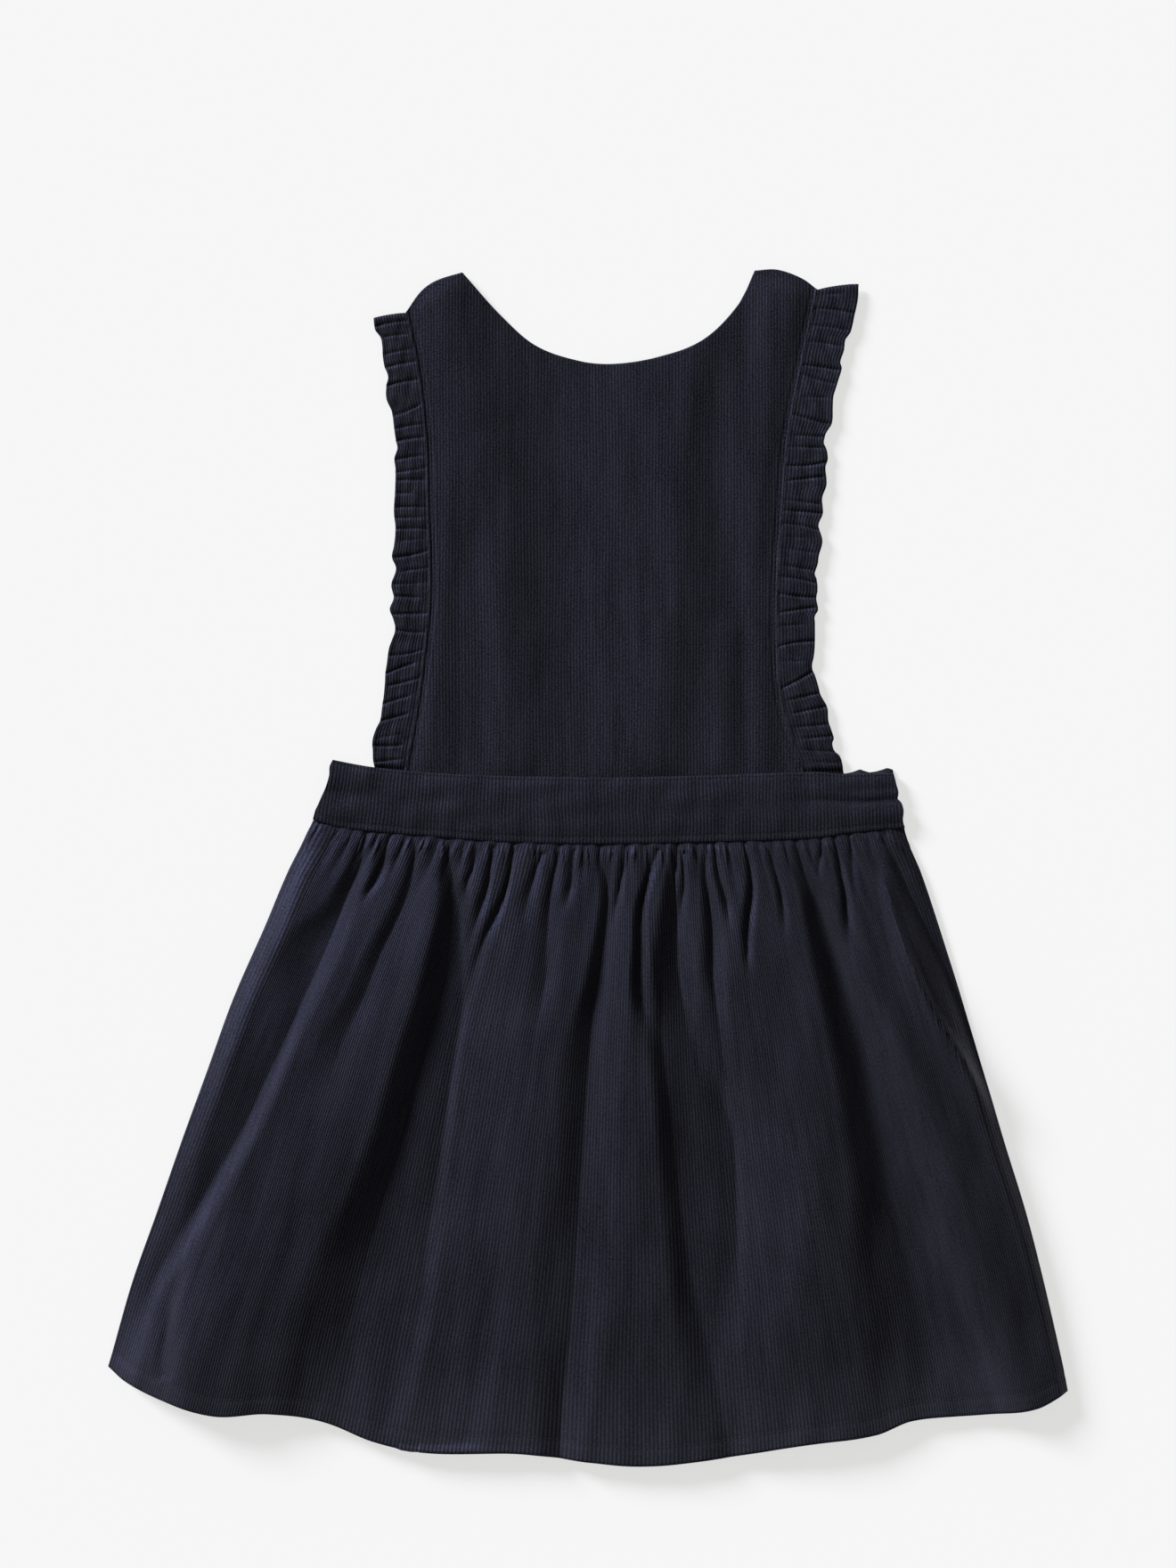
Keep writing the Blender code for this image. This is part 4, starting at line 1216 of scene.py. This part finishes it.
@dataclass
class Bodice:
    """The front bodice: upright ribs cut off by the neck, the shoulders and the armholes."""

    rib_pitch: float = 1.42
    rib_height: float = 0.15
    samples_per_rib: int = 5
    strap_lift: Span = (2.0, 38.0)
    waist_lift: Span = (2.0, 70.0)
    ridges: tuple[Rows, ...] = BODICE_RIDGES
    ridge_end: float = 12.0
    seam_hold: float = 0.55
    seam_fade: float = 5.0
    turn: float = 0.6
    tuck: float = 0.8
    shoulder_rise: float = 0.9
    shoulder_turn: float = 10.0
    shoulder_fade: Span = (14.0, 52.0)
    shoulder_side: Span = (-6.0, 8.0)
    # Ridges and grooves beside an armhole: how far in, half width, height.
    armhole_relief: Rows = (
        (0.8, 0.6, 0.5), (1.75, 0.4, -0.22), (3.4, 0.5, -0.16), (4.3, 0.6, 0.12)
    )  # fmt: skip
    unevenness: Ripple = Ripple(0.1, 24.0, 3, 0.4)
    wander: Ripple = Ripple(0.22, 40.0, 17, 0.5)
    x_range: Span = (-88.0, 108.0)
    below_neck: tuple[float, ...] = (0.0, 0.25, 0.6, 1.1, 2.0, 3.2)
    level_range: Span = (266.0, 46.0)
    level_step: float = 2.1
    low_levels: tuple[float, ...] = (44.0, 42.5, 41.2, 40.4, 39.0)
    cut: Span = (0.188, 0.2425)
    cut_area: float = 0.0385

    def top_edge(self, x: Array) -> Array:
        """Height of the shoulders and the neckline at x."""
        x = np.clip(x, LEFT_SHOULDER[0][0], RIGHT_SHOULDER[-1][0])
        left, right = (through(shoulder, x) for shoulder in SHOULDERS)
        neck = through(NECKLINE, x)
        return np.where(x < NECK_POINTS[0], left, np.where(x > NECK_POINTS[1], right, neck))

    def strap_edge(self, side: int, y: Array) -> Array:
        """x of the inner edge of the strap that lies under the bodice."""
        top_up = through(SHOULDERS[side], np.array([NECK_POINTS[side]]))
        waist_up = through(BAND_TOP, np.array([STRAP_WAIST_X[side]]))
        share = (y - waist_up) / (top_up - waist_up)
        return mix(STRAP_WAIST_X[side], NECK_POINTS[side], share)

    def from_armhole(self, x: Array, y: Array) -> Array:
        """Distance in x from the nearer armhole."""
        return np.minimum(x - through(ARMHOLES, y, 1), through(ARMHOLES, y, 2) - x)

    def middle(self, x: Array, y: Array) -> Array:
        """Middle surface at a flat place: up over the straps, down between them."""
        off_strap = np.minimum(x - self.strap_edge(0, y), self.strap_edge(1, y) - x)
        from_band = y - through(BAND_TOP, x)
        lift = np.minimum(ease(*self.strap_lift, off_strap), ease(*self.waist_lift, from_band))
        z = FRONT_WALL / 2 + UPPER_LAYER * (1 - lift)
        z = z + self.unevenness.at(x, y)
        from_top = self.top_edge(x) - y
        beside_neck = np.maximum(NECK_POINTS[0] - x, x - NECK_POINTS[1])
        shoulder = ease(0.0, self.shoulder_turn, from_top)
        shoulder = shoulder * (1 - ease(*self.shoulder_fade, from_top))
        shoulder = shoulder * ease(*self.shoulder_side, beside_neck)
        shoulder = shoulder * ease(0.0, self.shoulder_turn, self.from_armhole(x, y))
        z = z + self.shoulder_rise * shoulder
        held_down = mix(self.seam_hold, 1.0, ease(0.0, self.seam_fade, from_band))
        for rows in self.ridges:
            line, rise, fall, height = lookup(rows, y, 1, 2, 3, 4)
            low, high = rows[0][0], rows[-1][0]
            height = height * ease(low - self.ridge_end, low, y)
            height = height * (1 - ease(high, high + self.ridge_end, y))
            off = x - line
            z = z + held_down * height * hump(np.abs(off) / np.where(off < 0, rise, fall))
        return np.stack([x, y, np.maximum(z, FRONT_WALL / 2)], axis=-1)

    def build(self, cord: Material) -> None:
        """Builds and dresses the piece.

        Columns stand at fixed x, so that the ribs are upright, and rows at fixed heights. Places
        outside the outline are moved onto it, and the faces that this closes up are taken away.
        """
        columns = np.arange(*self.x_range, self.rib_pitch / self.samples_per_rib)
        near_edge = np.array(self.below_neck)
        levels = np.append(np.arange(*self.level_range, -self.level_step), self.low_levels)
        x_grid = np.broadcast_to(columns, (len(near_edge) + len(levels), len(columns)))
        top = self.top_edge(columns)
        edge_rows = top[None, :] - near_edge[:, None]
        level_rows = np.minimum(levels[:, None], top[None, :] - near_edge[-1])
        y = np.concatenate([edge_rows, level_rows])
        y = np.maximum(y, through(BAND_TOP, columns)[None, :] - self.tuck)
        x = np.clip(x_grid, through(ARMHOLES, y, 1), through(ARMHOLES, y, 2))
        y = np.maximum(y, through(BAND_TOP, x) - self.tuck)
        rib = ribs((x + self.wander.at(x, y)) / self.rib_pitch)
        from_neck = np.clip((self.top_edge(x) - y) / self.turn, 0.0, 1.0)
        rounded = 1 - np.sqrt(1 - (1 - from_neck) ** 2)
        relief = self.rib_height * (rib - 1) - 0.5 * FRONT_WALL * rounded
        inward = self.from_armhole(x, y)
        for centre, half_width, height in self.armhole_relief:
            relief = relief + height * bell(inward, centre, half_width)
        place = np.stack([x, y], axis=-1)
        middle = self.middle(x, y)
        shell = Shell(
            "bodice_front_cloth", middle, relief, rib, place, coarse=(3, 12), upright=True
        )
        piece = shell.build()
        weld(piece)
        finish_cloth(piece, cord, ["bodice_front"])


@dataclass
class FrontBand:
    """The doubled waistband, swollen between its two rows of stitching."""

    wall: float = 3.0
    pillow: float = 0.7
    pillow_edge: float = 0.3
    pillow_start: float = -0.35
    # fmt: off
    ends: Rows = (
        # up, left x, right x
        (12, -126.6, 145.6), (17.2, -124.8, 144.2), (21, -123.6, 143.4), (25, -122.6, 143.9),
        (28, -121.4, 143.2), (30.6, -120.4, 141.4), (33, -119.4, 142), (37, -118, 141.2),
        (41, -117, 140.3), (45, -116.9, 139.6), (48.2, -115.6, 138.8),
    )
    # Soft lengthwise troughs and swellings.
    troughs: tuple[Rows, ...] = (
        # x, share of the height from the top, height, half width as a share
        (
            (-128, 0.56, -0.9, 0.07), (-112, 0.5, -0.7, 0.1), (-96, 0.42, -0.4, 0.14),
            (-78, 0.37, -0.3, 0.2), (-56, 0.4, 0, 0.2),
        ),
        (
            (84, 0.4, 0, 0.12), (96, 0.41, -0.35, 0.09), (110, 0.44, -0.6, 0.06),
            (125, 0.49, -1.1, 0.05), (148, 0.47, -1.5, 0.05),
        ),
        ((104, 0.28, 0, 0.08), (116, 0.28, -0.35, 0.07), (138, 0.27, -0.4, 0.07)),
        ((96, 0.7, 0, 0.12), (118, 0.72, 0.25, 0.12), (142, 0.72, 0.3, 0.12)),
    )
    lean: Rows = (
        # x, how far the ribs' tops lie to the right of their feet
        (-126, 4.6), (-100, 3.6), (-80, 2.4), (-50, 0.8), (0, 0), (146, -1),
    )
    # fmt: on
    top_ends: Span = (-115.6, 138.8)
    bottom_ends: Span = (-124.6, 144.0)
    right_dip: float = 1.2
    dip_range: Span = (104.0, 116.0)
    height: float = 30.0
    # Shares of the height where each run of rows begins and ends, and its number of rows.
    row_runs: tuple[Run, ...] = ((0.0, 0.16, 8), (0.16, 0.8, 16), (0.8, 1.0, 10))
    unevenness: Ripple = Ripple(0.1, 22.0, 41, 2.0)
    rib_count: int = 167
    samples_per_rib: int = 5
    wander: Ripple = Ripple(0.2, 30.0, 43)
    stitch_in: Span = (0.06, 0.90)
    stitch_width: float = 0.022
    stitch_depth: float = 0.25
    stitch_flat: float = 0.5
    edge_width: float = 0.012
    edge_depth: float = 0.4
    cut: Span = (0.267, 0.031)

    def outline(self) -> Patch:
        """The band between the bodice and the skirt, with both ends leaning out."""

        def top(u: Array) -> Array:
            x = mix(*self.top_ends, u)
            dip = self.right_dip * ease(*self.dip_range, x)
            return np.stack([x, through(BAND_TOP, x) - dip], axis=-1)

        return Patch.between(top, edge_along(*self.bottom_ends, BAND_BOTTOM), self.ends)

    def middle(self, u: Array, v: Array) -> Array:
        """Middle surface: level with rounded long edges, plus the troughs and swellings."""
        flat = self.outline().at(u, v)
        x = flat[..., 0]
        level = UPPER_LAYER + self.wall / 2
        from_edge = np.minimum(v, 1 - v) / self.pillow_edge
        z = level + self.pillow * ease(self.pillow_start, 1.0, from_edge)
        for rows in self.troughs:
            share, height, half_width = lookup(rows, x, 1, 2, 3)
            z = z + height * bell(v, share, half_width)
        z = z + self.unevenness.at(x, flat[..., 1])
        return np.concatenate([flat, np.maximum(z, level)[..., None]], axis=-1)

    def build(self, cord: Material) -> None:
        """Builds and dresses the piece."""
        u = np.linspace(0.0, 1.0, self.rib_count * self.samples_per_rib + 1)
        v_grid, u_grid = grid(stretches(*self.row_runs), u)
        middle = self.middle(u_grid, v_grid)
        x, y = middle[..., 0], middle[..., 1]
        # The ribs stand upright but for the lean of the cloth, which grows towards the ends.
        leaning = through(self.lean, x) * (0.5 - v_grid)
        rib = ribs((x - leaning + self.wander.at(x, y)) / RIB_PITCH)
        sewn = sum(bell(v_grid, share, self.stitch_width) for share in self.stitch_in)
        rounded = np.exp(-v_grid / self.edge_width) + np.exp(-(1 - v_grid) / self.edge_width)
        relief = RIB_HEIGHT * (rib - 1) * (1 - self.stitch_flat * sewn)
        relief = relief - self.stitch_depth * sewn - self.edge_depth * rounded
        place = np.stack([x, v_grid * self.height], axis=-1)
        shell = Shell(
            "waistband_front_cloth", middle, relief, rib, place, wall=self.wall, coarse=(4, 10)
        )
        piece = finish_cloth(shell.build(), cord, ["waistband_front"])


@dataclass
class Ruffle:
    """A gathered strip in one armhole seam, standing off it in puffs with creases between.

    The grid's rows lie along the creases. Each crease is a row of a table: its height at the seam,
    its height at the free edge, how far its middle bows up, its depth as a share of the puff, and
    the places across the strip where it begins and ends.
    """

    side: int
    creases: Rows
    edge: Rows
    seam_height: float = 0.6
    edge_height: float = 1.6
    swell: float = 0.75
    seam_level: float = 1.5
    edge_level: float = 0.8
    wall: float = 0.9
    flanks: Span = (1.8, 1.3)
    crease_share: float = 0.66
    crease_start: Span = (-0.15, 0.1)
    crease_stop: Span = (-0.1, 0.15)
    shallowest: float = 0.2
    bulge: float = 1.1
    bulge_level: float = 0.6
    unevenness: tuple[Ripple, Ripple] = (Ripple(0.12, 7.0, 31), Ripple(0.12, 7.0, 32))
    end_length: float = 2.5
    rib_height: float = 0.28
    rib_shift: float = 0.25
    tuck: float = 0.8
    ribs_across: int = 12
    samples_per_rib: int = 4
    row_step: float = 0.5
    least_rows: int = 4
    cut: Span = (0.29, 0.0175)

    def place(self, order: Array, across: Array) -> tuple[Array, Array]:
        """Flat place of a point.

        Args:
            order: place along the strip, counted in creases from the shoulder.
            across: share from the seam to the free edge.

        Returns:
            x and y in mm.
        """
        table = np.asarray(self.creases, float)
        count = np.arange(len(table))
        at_seam, at_edge, bow = (np.interp(order, count, table[:, k]) for k in range(3))
        x_seam = through(ARMHOLES, at_seam, 1 + self.side) - OUTWARD[self.side] * self.tuck
        y = mix(at_seam, at_edge, across) + bow * 4 * across * (1 - across)
        return mix(x_seam, through(self.edge, at_edge), across), y

    def middle(self, order: Array, across: Array) -> Array:
        """Middle surface of the strip.

        Each crease takes a valley from the puff; the valley's flank above the crease is the
        wider one.

        Args:
            order: place along the strip, counted in creases from the shoulder.
            across: share from the seam to the free edge.

        Returns:
            Places in mm.
        """
        x, y = self.place(order, across)
        puff = np.ones_like(y)
        begin, stop = self.crease_start, self.crease_stop
        for number, (_, _, _, depth, first, last) in enumerate(self.creases):
            _, line = self.place(np.full_like(order, number), across)
            off = y - line
            t = np.minimum(np.abs(off) / np.where(off > 0, *self.flanks), 1.0)
            here = self.crease_share * depth * ease(first + begin[0], first + begin[1], across)
            here = here * (1 - ease(last + stop[0], last + stop[1], across))
            puff *= 1 - here * valley(t)
        puff = np.maximum(puff, self.shallowest)
        rise = mix(self.seam_height, self.edge_height, across**self.swell)
        bulge = self.bulge * (puff - self.bulge_level) * np.sin(math.pi * across)
        x = x + OUTWARD[self.side] * bulge
        level = mix(self.seam_level, self.edge_level, across) + self.wall / 2
        z = level + puff * rise + self.unevenness[self.side].at(x, y)
        ends_low = ease(0.0, self.end_length, y - through(BAND_TOP, x))
        return np.stack([x, y, mix(level, z, ends_low)], axis=-1)

    def build(self, cord: Material) -> None:
        """Builds and dresses the piece: its ribs run along the strip."""
        table = np.asarray(self.creases, float)
        gaps = np.maximum(-np.diff(table[:, 0]), -np.diff(table[:, 1]))
        steps = np.maximum((gaps / self.row_step).astype(int), self.least_rows)
        order = stretches(*((k, k + 1, count) for k, count in enumerate(steps)))
        across = np.linspace(0.0, 1.0, self.ribs_across * self.samples_per_rib + 1)
        if self.side == 0:
            across = across[::-1]
        order_grid, across_grid = grid(order, across)
        middle = self.middle(order_grid, across_grid)
        rib = ribs(across_grid * self.ribs_across + self.rib_shift * across_grid)
        along = np.broadcast_to(middle[:, :1, 1], order_grid.shape)
        place = np.stack([across_grid * self.ribs_across * RIB_PITCH, along], axis=-1)
        name = f"ruffle_{SIDES[self.side]}"
        relief = self.rib_height * (rib - 1)
        shell = Shell(f"{name}_cloth", middle, relief, rib, place, wall=self.wall, coarse=(3, 8))
        piece = finish_cloth(shell.build(), cord, [name])


@dataclass
class BackPieces:
    """The flat back: skirt, elastic waistband and straps, right side down on the surface."""

    skirt_tuck_in: float = 5.0
    hem_short: float = 1.2
    # fmt: off
    shows: Rows = (
        # x, height of the top edge over the line of the front waistband's
        (100, -1), (112, -1), (117.5, -0.9), (121, -0.2), (124, 0.8), (126.5, -0.4), (129, -0.6),
        (132, 0), (134.5, 0.7), (136.4, 1.2), (139.7, 0),
    )
    # fmt: on
    samples_per_rib: int = 4
    skirt_ribs: int = 280
    band_ribs: int = 190
    strap_ribs: int = 24
    skirt_rows: int = 40
    band_rows: int = 10
    strap_rows: int = 60
    skirt_cut: Span = (0.47, 0.29)
    band_cut: Span = (0.31, 0.031)
    strap_cut: Span = (0.046, 0.232)
    strap_area: float = 0.0076

    def skirt_outline(self) -> Patch:
        """The back skirt, a little inside the front one."""
        low_from = BAND_BOTTOM[0][0] + self.skirt_tuck_in
        low_to = BAND_BOTTOM[-1][0] - self.skirt_tuck_in
        hem_from, hem_to = HEM[0][0] + self.skirt_tuck_in, HEM[-1][0] - self.skirt_tuck_in
        top = edge_along(low_from, low_to, BAND_BOTTOM, SEAM_GAP - TUCK_IN)
        bottom = edge_along(hem_from, hem_to, HEM, -self.hem_short)
        return Patch.between(top, bottom, SKIRT_SIDES, self.skirt_tuck_in)

    def band_outline(self) -> Patch:
        """The back waistband, which shows just above the front one at the right."""

        def top(u: Array) -> Array:
            x = mix(BAND_TOP[0][0] + TUCK_IN, BAND_TOP[-1][0] - TUCK_IN, u)
            return np.stack([x, through(BAND_TOP, x) + through(self.shows, x)], axis=-1)

        low_from, low_to = BAND_BOTTOM[0][0] + TUCK_IN, BAND_BOTTOM[-1][0] - TUCK_IN
        bottom = edge_along(low_from, low_to, BAND_BOTTOM, -TUCK_IN)
        return Patch.between(top, bottom, follow=())

    def strap_outline(self, side: int) -> Patch:
        """A back strap, from inside the shoulder seam to the back waistband."""
        inward = -OUTWARD[side] * TUCK_IN
        armhole_x = (LEFT_SHOULDER[0][0], RIGHT_SHOULDER[-1][0])[side]
        x_from, x_to = sorted((armhole_x + inward, NECK_POINTS[side] - inward))
        low_from, low_to = sorted((ARMHOLES[0][1 + side] + inward, STRAP_WAIST_X[side]))
        top = edge_along(x_from, x_to, SHOULDERS[side], 2 * TUCK_IN)
        bottom = edge_along(low_from, low_to, BAND_TOP, TUCK_IN - SEAM_GAP)
        return Patch.between(top, bottom, ARMHOLES, follow=(1 + side,))

    def flat_shell(self, name: str, outline: Patch, rib_count: int, rows: int) -> Object:
        """A level shell on the surface, with its ribs' tops flush with it."""
        u = np.linspace(0.0, 1.0, rib_count * self.samples_per_rib + 1)
        v_grid, u_grid = grid(np.linspace(0.0, 1.0, rows + 1), u)
        flat = outline.at(u_grid, v_grid)
        level = np.full((*flat.shape[:2], 1), BACK_WALL / 2)
        rib = ribs(u_grid * rib_count)
        shell = Shell(
            name,
            np.concatenate([flat, level], axis=-1),
            RIB_HEIGHT * (rib - 1),
            rib,
            np.stack([u_grid * rib_count * RIB_PITCH, -flat[..., 1]], axis=-1),
            wall=BACK_WALL,
            side=RightSide.DOWN,
            coarse=(4, 8),
            upright=True,
        )
        return shell.build()

    def build(self, cord: Material) -> None:
        """Builds and dresses the four pieces."""
        skirt = self.flat_shell(
            "skirt_back_cloth", self.skirt_outline(), self.skirt_ribs, self.skirt_rows
        )
        finish_cloth(skirt, cord, ["skirt_back"])
        band = self.flat_shell(
            "waistband_back_cloth", self.band_outline(), self.band_ribs, self.band_rows
        )
        finish_cloth(band, cord, ["waistband_back"])
        for side, word in enumerate(SIDES):
            name = f"strap_back_{word}"
            outline = self.strap_outline(side)
            strap = self.flat_shell(f"{name}_cloth", outline, self.strap_ribs, self.strap_rows)
            finish_cloth(strap, cord, [name])


@dataclass
class Stitching:
    """Rows of lockstitch, each stitch a short rounded length of thread dipping at its ends."""

    length: float = 2.3
    gap: float = 0.25
    radius: float = 0.15
    rings: int = 5
    proud: float = 0.06
    swell: Span = (0.12, 0.88)
    dip: float = 1.6
    aim_step: float = 0.4

    def row(self, path: Array) -> tuple[Array, Array]:
        """Stitches along a path on the cloth.

        Args:
            path: places along the row, in mm, close together.

        Returns:
            Points and quads. Each stitch is a six-sided ring swept along a short length of the
            path; its radius follows a half wave, and both ends sink below the cloth.
        """
        steps = np.linalg.norm(np.diff(path, axis=0), axis=1)
        run = np.concatenate([[0.0], np.cumsum(steps)])
        count = int(run[-1] // (self.length + self.gap))
        starts = (np.arange(count) + 0.5) * run[-1] / count - self.length / 2
        share = np.linspace(0.0, 1.0, self.rings)
        at = starts[:, None] + share[None, :] * self.length

        def places(along: Array) -> Array:
            return np.stack([np.interp(along, run, path[:, k]) for k in range(3)], axis=-1)

        forward = unit(places(at + self.aim_step) - places(at - self.aim_step))
        sideways = unit(np.cross(forward, UP))
        upward = np.cross(sideways, forward)
        swell = np.sin(math.pi * mix(*self.swell, share))[None, :, None]
        spine = places(at) + upward * (self.proud + self.radius * (swell - 1.0) * self.dip)
        angle = np.linspace(0.0, 2 * math.pi, 6, endpoint=False)[:, None]
        ring = sideways[:, :, None, :] * np.cos(angle) + upward[:, :, None, :] * np.sin(angle)
        points = spine[:, :, None, :] + ring * (self.radius * swell)[..., None]
        index = np.arange(points[..., 0].size).reshape(points.shape[:3])
        side_on = np.roll(index, -1, axis=2)
        around = [index[:, :-1], side_on[:, :-1], side_on[:, 1:], index[:, 1:]]
        cap_one = index[:, 0, [0, 5, 4, 3]], index[:, 0, [0, 3, 2, 1]]
        cap_two = index[:, -1, [0, 1, 2, 3]], index[:, -1, [0, 3, 4, 5]]
        quads = np.concatenate([np.stack(around, axis=-1).reshape(-1, 4), *cap_one, *cap_two])
        return points.reshape(-1, 3), quads

    def build(self, name: str, paths: Sequence[Array], thread: Material) -> None:
        """Builds the rows of stitching of one piece of cloth as one mesh."""
        points, quads, total = [], [], 0
        for path in paths:
            row_points, row_quads = self.row(path)
            points.append(row_points)
            quads.append(row_quads + total)
            total += len(row_points)
        piece = mesh_object(name, np.concatenate(points), np.concatenate(quads))
        piece.data.materials.append(thread)
        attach(piece, BODY)
        LOG.info("%s: %d faces", name, len(piece.data.polygons))


@dataclass
class Sewing:
    """The rows of stitching on the waistband, above the hem and beside the armholes."""

    band: FrontBand
    skirt: SkirtFront
    bodice: Bodice
    band_sunk: float = 0.35
    hem_sunk: float = 0.3
    armhole_sunk: float = 0.15
    armhole_insets: Span = (0.9, 2.5)
    armhole_low: float = 46.0
    armhole_short: float = 2.0
    ends_in: float = 0.004
    row_points: int = 900
    armhole_points: int = 500

    def build(self, thread: Material) -> None:
        """Builds every row, each sunk a little below the top of the cloth's wall."""
        stitches = Stitching()
        u = np.linspace(self.ends_in, 1 - self.ends_in, self.row_points)
        rows = [self.band.middle(u, np.full_like(u, share)) for share in self.band.stitch_in]
        raised = UP * (self.band.wall / 2 - self.band_sunk)
        stitches.build("waistband_stitching", [row + raised for row in rows], thread)
        v = np.full_like(u, 1 - self.skirt.hem_fold / self.skirt.length)
        hem = self.skirt.middle(u, v) + UP * (FRONT_WALL / 2 - self.hem_sunk)
        stitches.build("hem_stitching", [hem], thread)
        rows = []
        raised = UP * (FRONT_WALL / 2 - self.armhole_sunk)
        for side, top in enumerate(SHOULDER_ENDS):
            up = np.linspace(top - self.armhole_short, self.armhole_low, self.armhole_points)
            for inset in self.armhole_insets:
                x = through(ARMHOLES, up, 1 + side) - OUTWARD[side] * inset
                rows.append(self.bodice.middle(x, up) + raised)
        stitches.build("armhole_stitching", rows, thread)


@dataclass
class Studio:
    """The pale surface, the soft light from the upper left and the camera straight above."""

    floor_size: float = 16.0
    frame_centre: Span = (0.0002, 0.0371)
    frame_height: float = 0.7128
    lens: float = 100.0
    sensor: float = 36.0
    fill: float = 0.26
    key: float = 7.0
    key_spread: float = 18.0
    key_colour: tuple[float, float, float] = (0.97, 0.98, 1.05)
    fill_colour: tuple[float, float, float, float] = (1.0, 0.95, 0.85, 1.0)
    key_from: tuple[float, float, float] = (-0.7, 0.6, 0.38)

    def build(self) -> None:
        """Builds the floor, the lights and the camera."""
        half = self.floor_size / (2 * MM)
        corners = half * np.array([[-1, 1, 0], [-1, -1, 0], [1, -1, 0], [1, 1, 0]])
        floor = mesh_object("light_table", corners, np.array([[0, 1, 2, 3]]))
        floor.data.materials.append(LightTable().material())

        world = bpy.data.worlds.new("studio")
        world.use_nodes = True
        sky = {"Color": self.fill_colour, "Strength": self.fill}
        set_inputs(world.node_tree, world.node_tree.nodes["Background"], sky)
        bpy.context.scene.world = world

        light = bpy.data.lights.new("key", "SUN")
        light.energy = self.key
        light.color = self.key_colour
        light.angle = math.radians(self.key_spread)
        lamp = bpy.data.objects.new("key", light)
        aim = -Vector(self.key_from)
        lamp.rotation_euler = aim.to_track_quat("-Z", "Y").to_euler()
        bpy.context.scene.collection.objects.link(lamp)

        camera = bpy.data.cameras.new("camera")
        camera.lens = self.lens
        camera.sensor_fit = "VERTICAL"
        camera.sensor_height = self.sensor
        stand = bpy.data.objects.new("camera", camera)
        height = self.frame_height * self.lens / self.sensor
        stand.location = (*self.frame_centre, height)
        bpy.context.scene.collection.objects.link(stand)
        bpy.context.scene.camera = stand
        bpy.context.scene.view_settings.view_transform = "Standard"


def main() -> None:
    """Builds the studio, the cloth and the stitching."""
    logging.basicConfig(level=logging.INFO, format="%(message)s")
    Studio().build()
    cord = Needlecord().material()
    fine_tufts = Noise(0.8, 2.0, 0.7)
    tufted = Needlecord("cotton_needlecord_tufted", tufts=fine_tufts, grain=3.2).material()
    skirt, bodice, band = SkirtFront(), Bodice(), FrontBand()
    BackPieces().build(cord)
    skirt.build(cord)
    bodice.build(tufted)
    band.build(cord)
    Ruffle(0, LEFT_RUFFLE_CREASES, LEFT_RUFFLE_EDGE).build(cord)
    Ruffle(1, RIGHT_RUFFLE_CREASES, RIGHT_RUFFLE_EDGE).build(cord)
    Sewing(band, skirt, bodice).build(SewingThread().material())


if __name__ == "__main__":
    main()
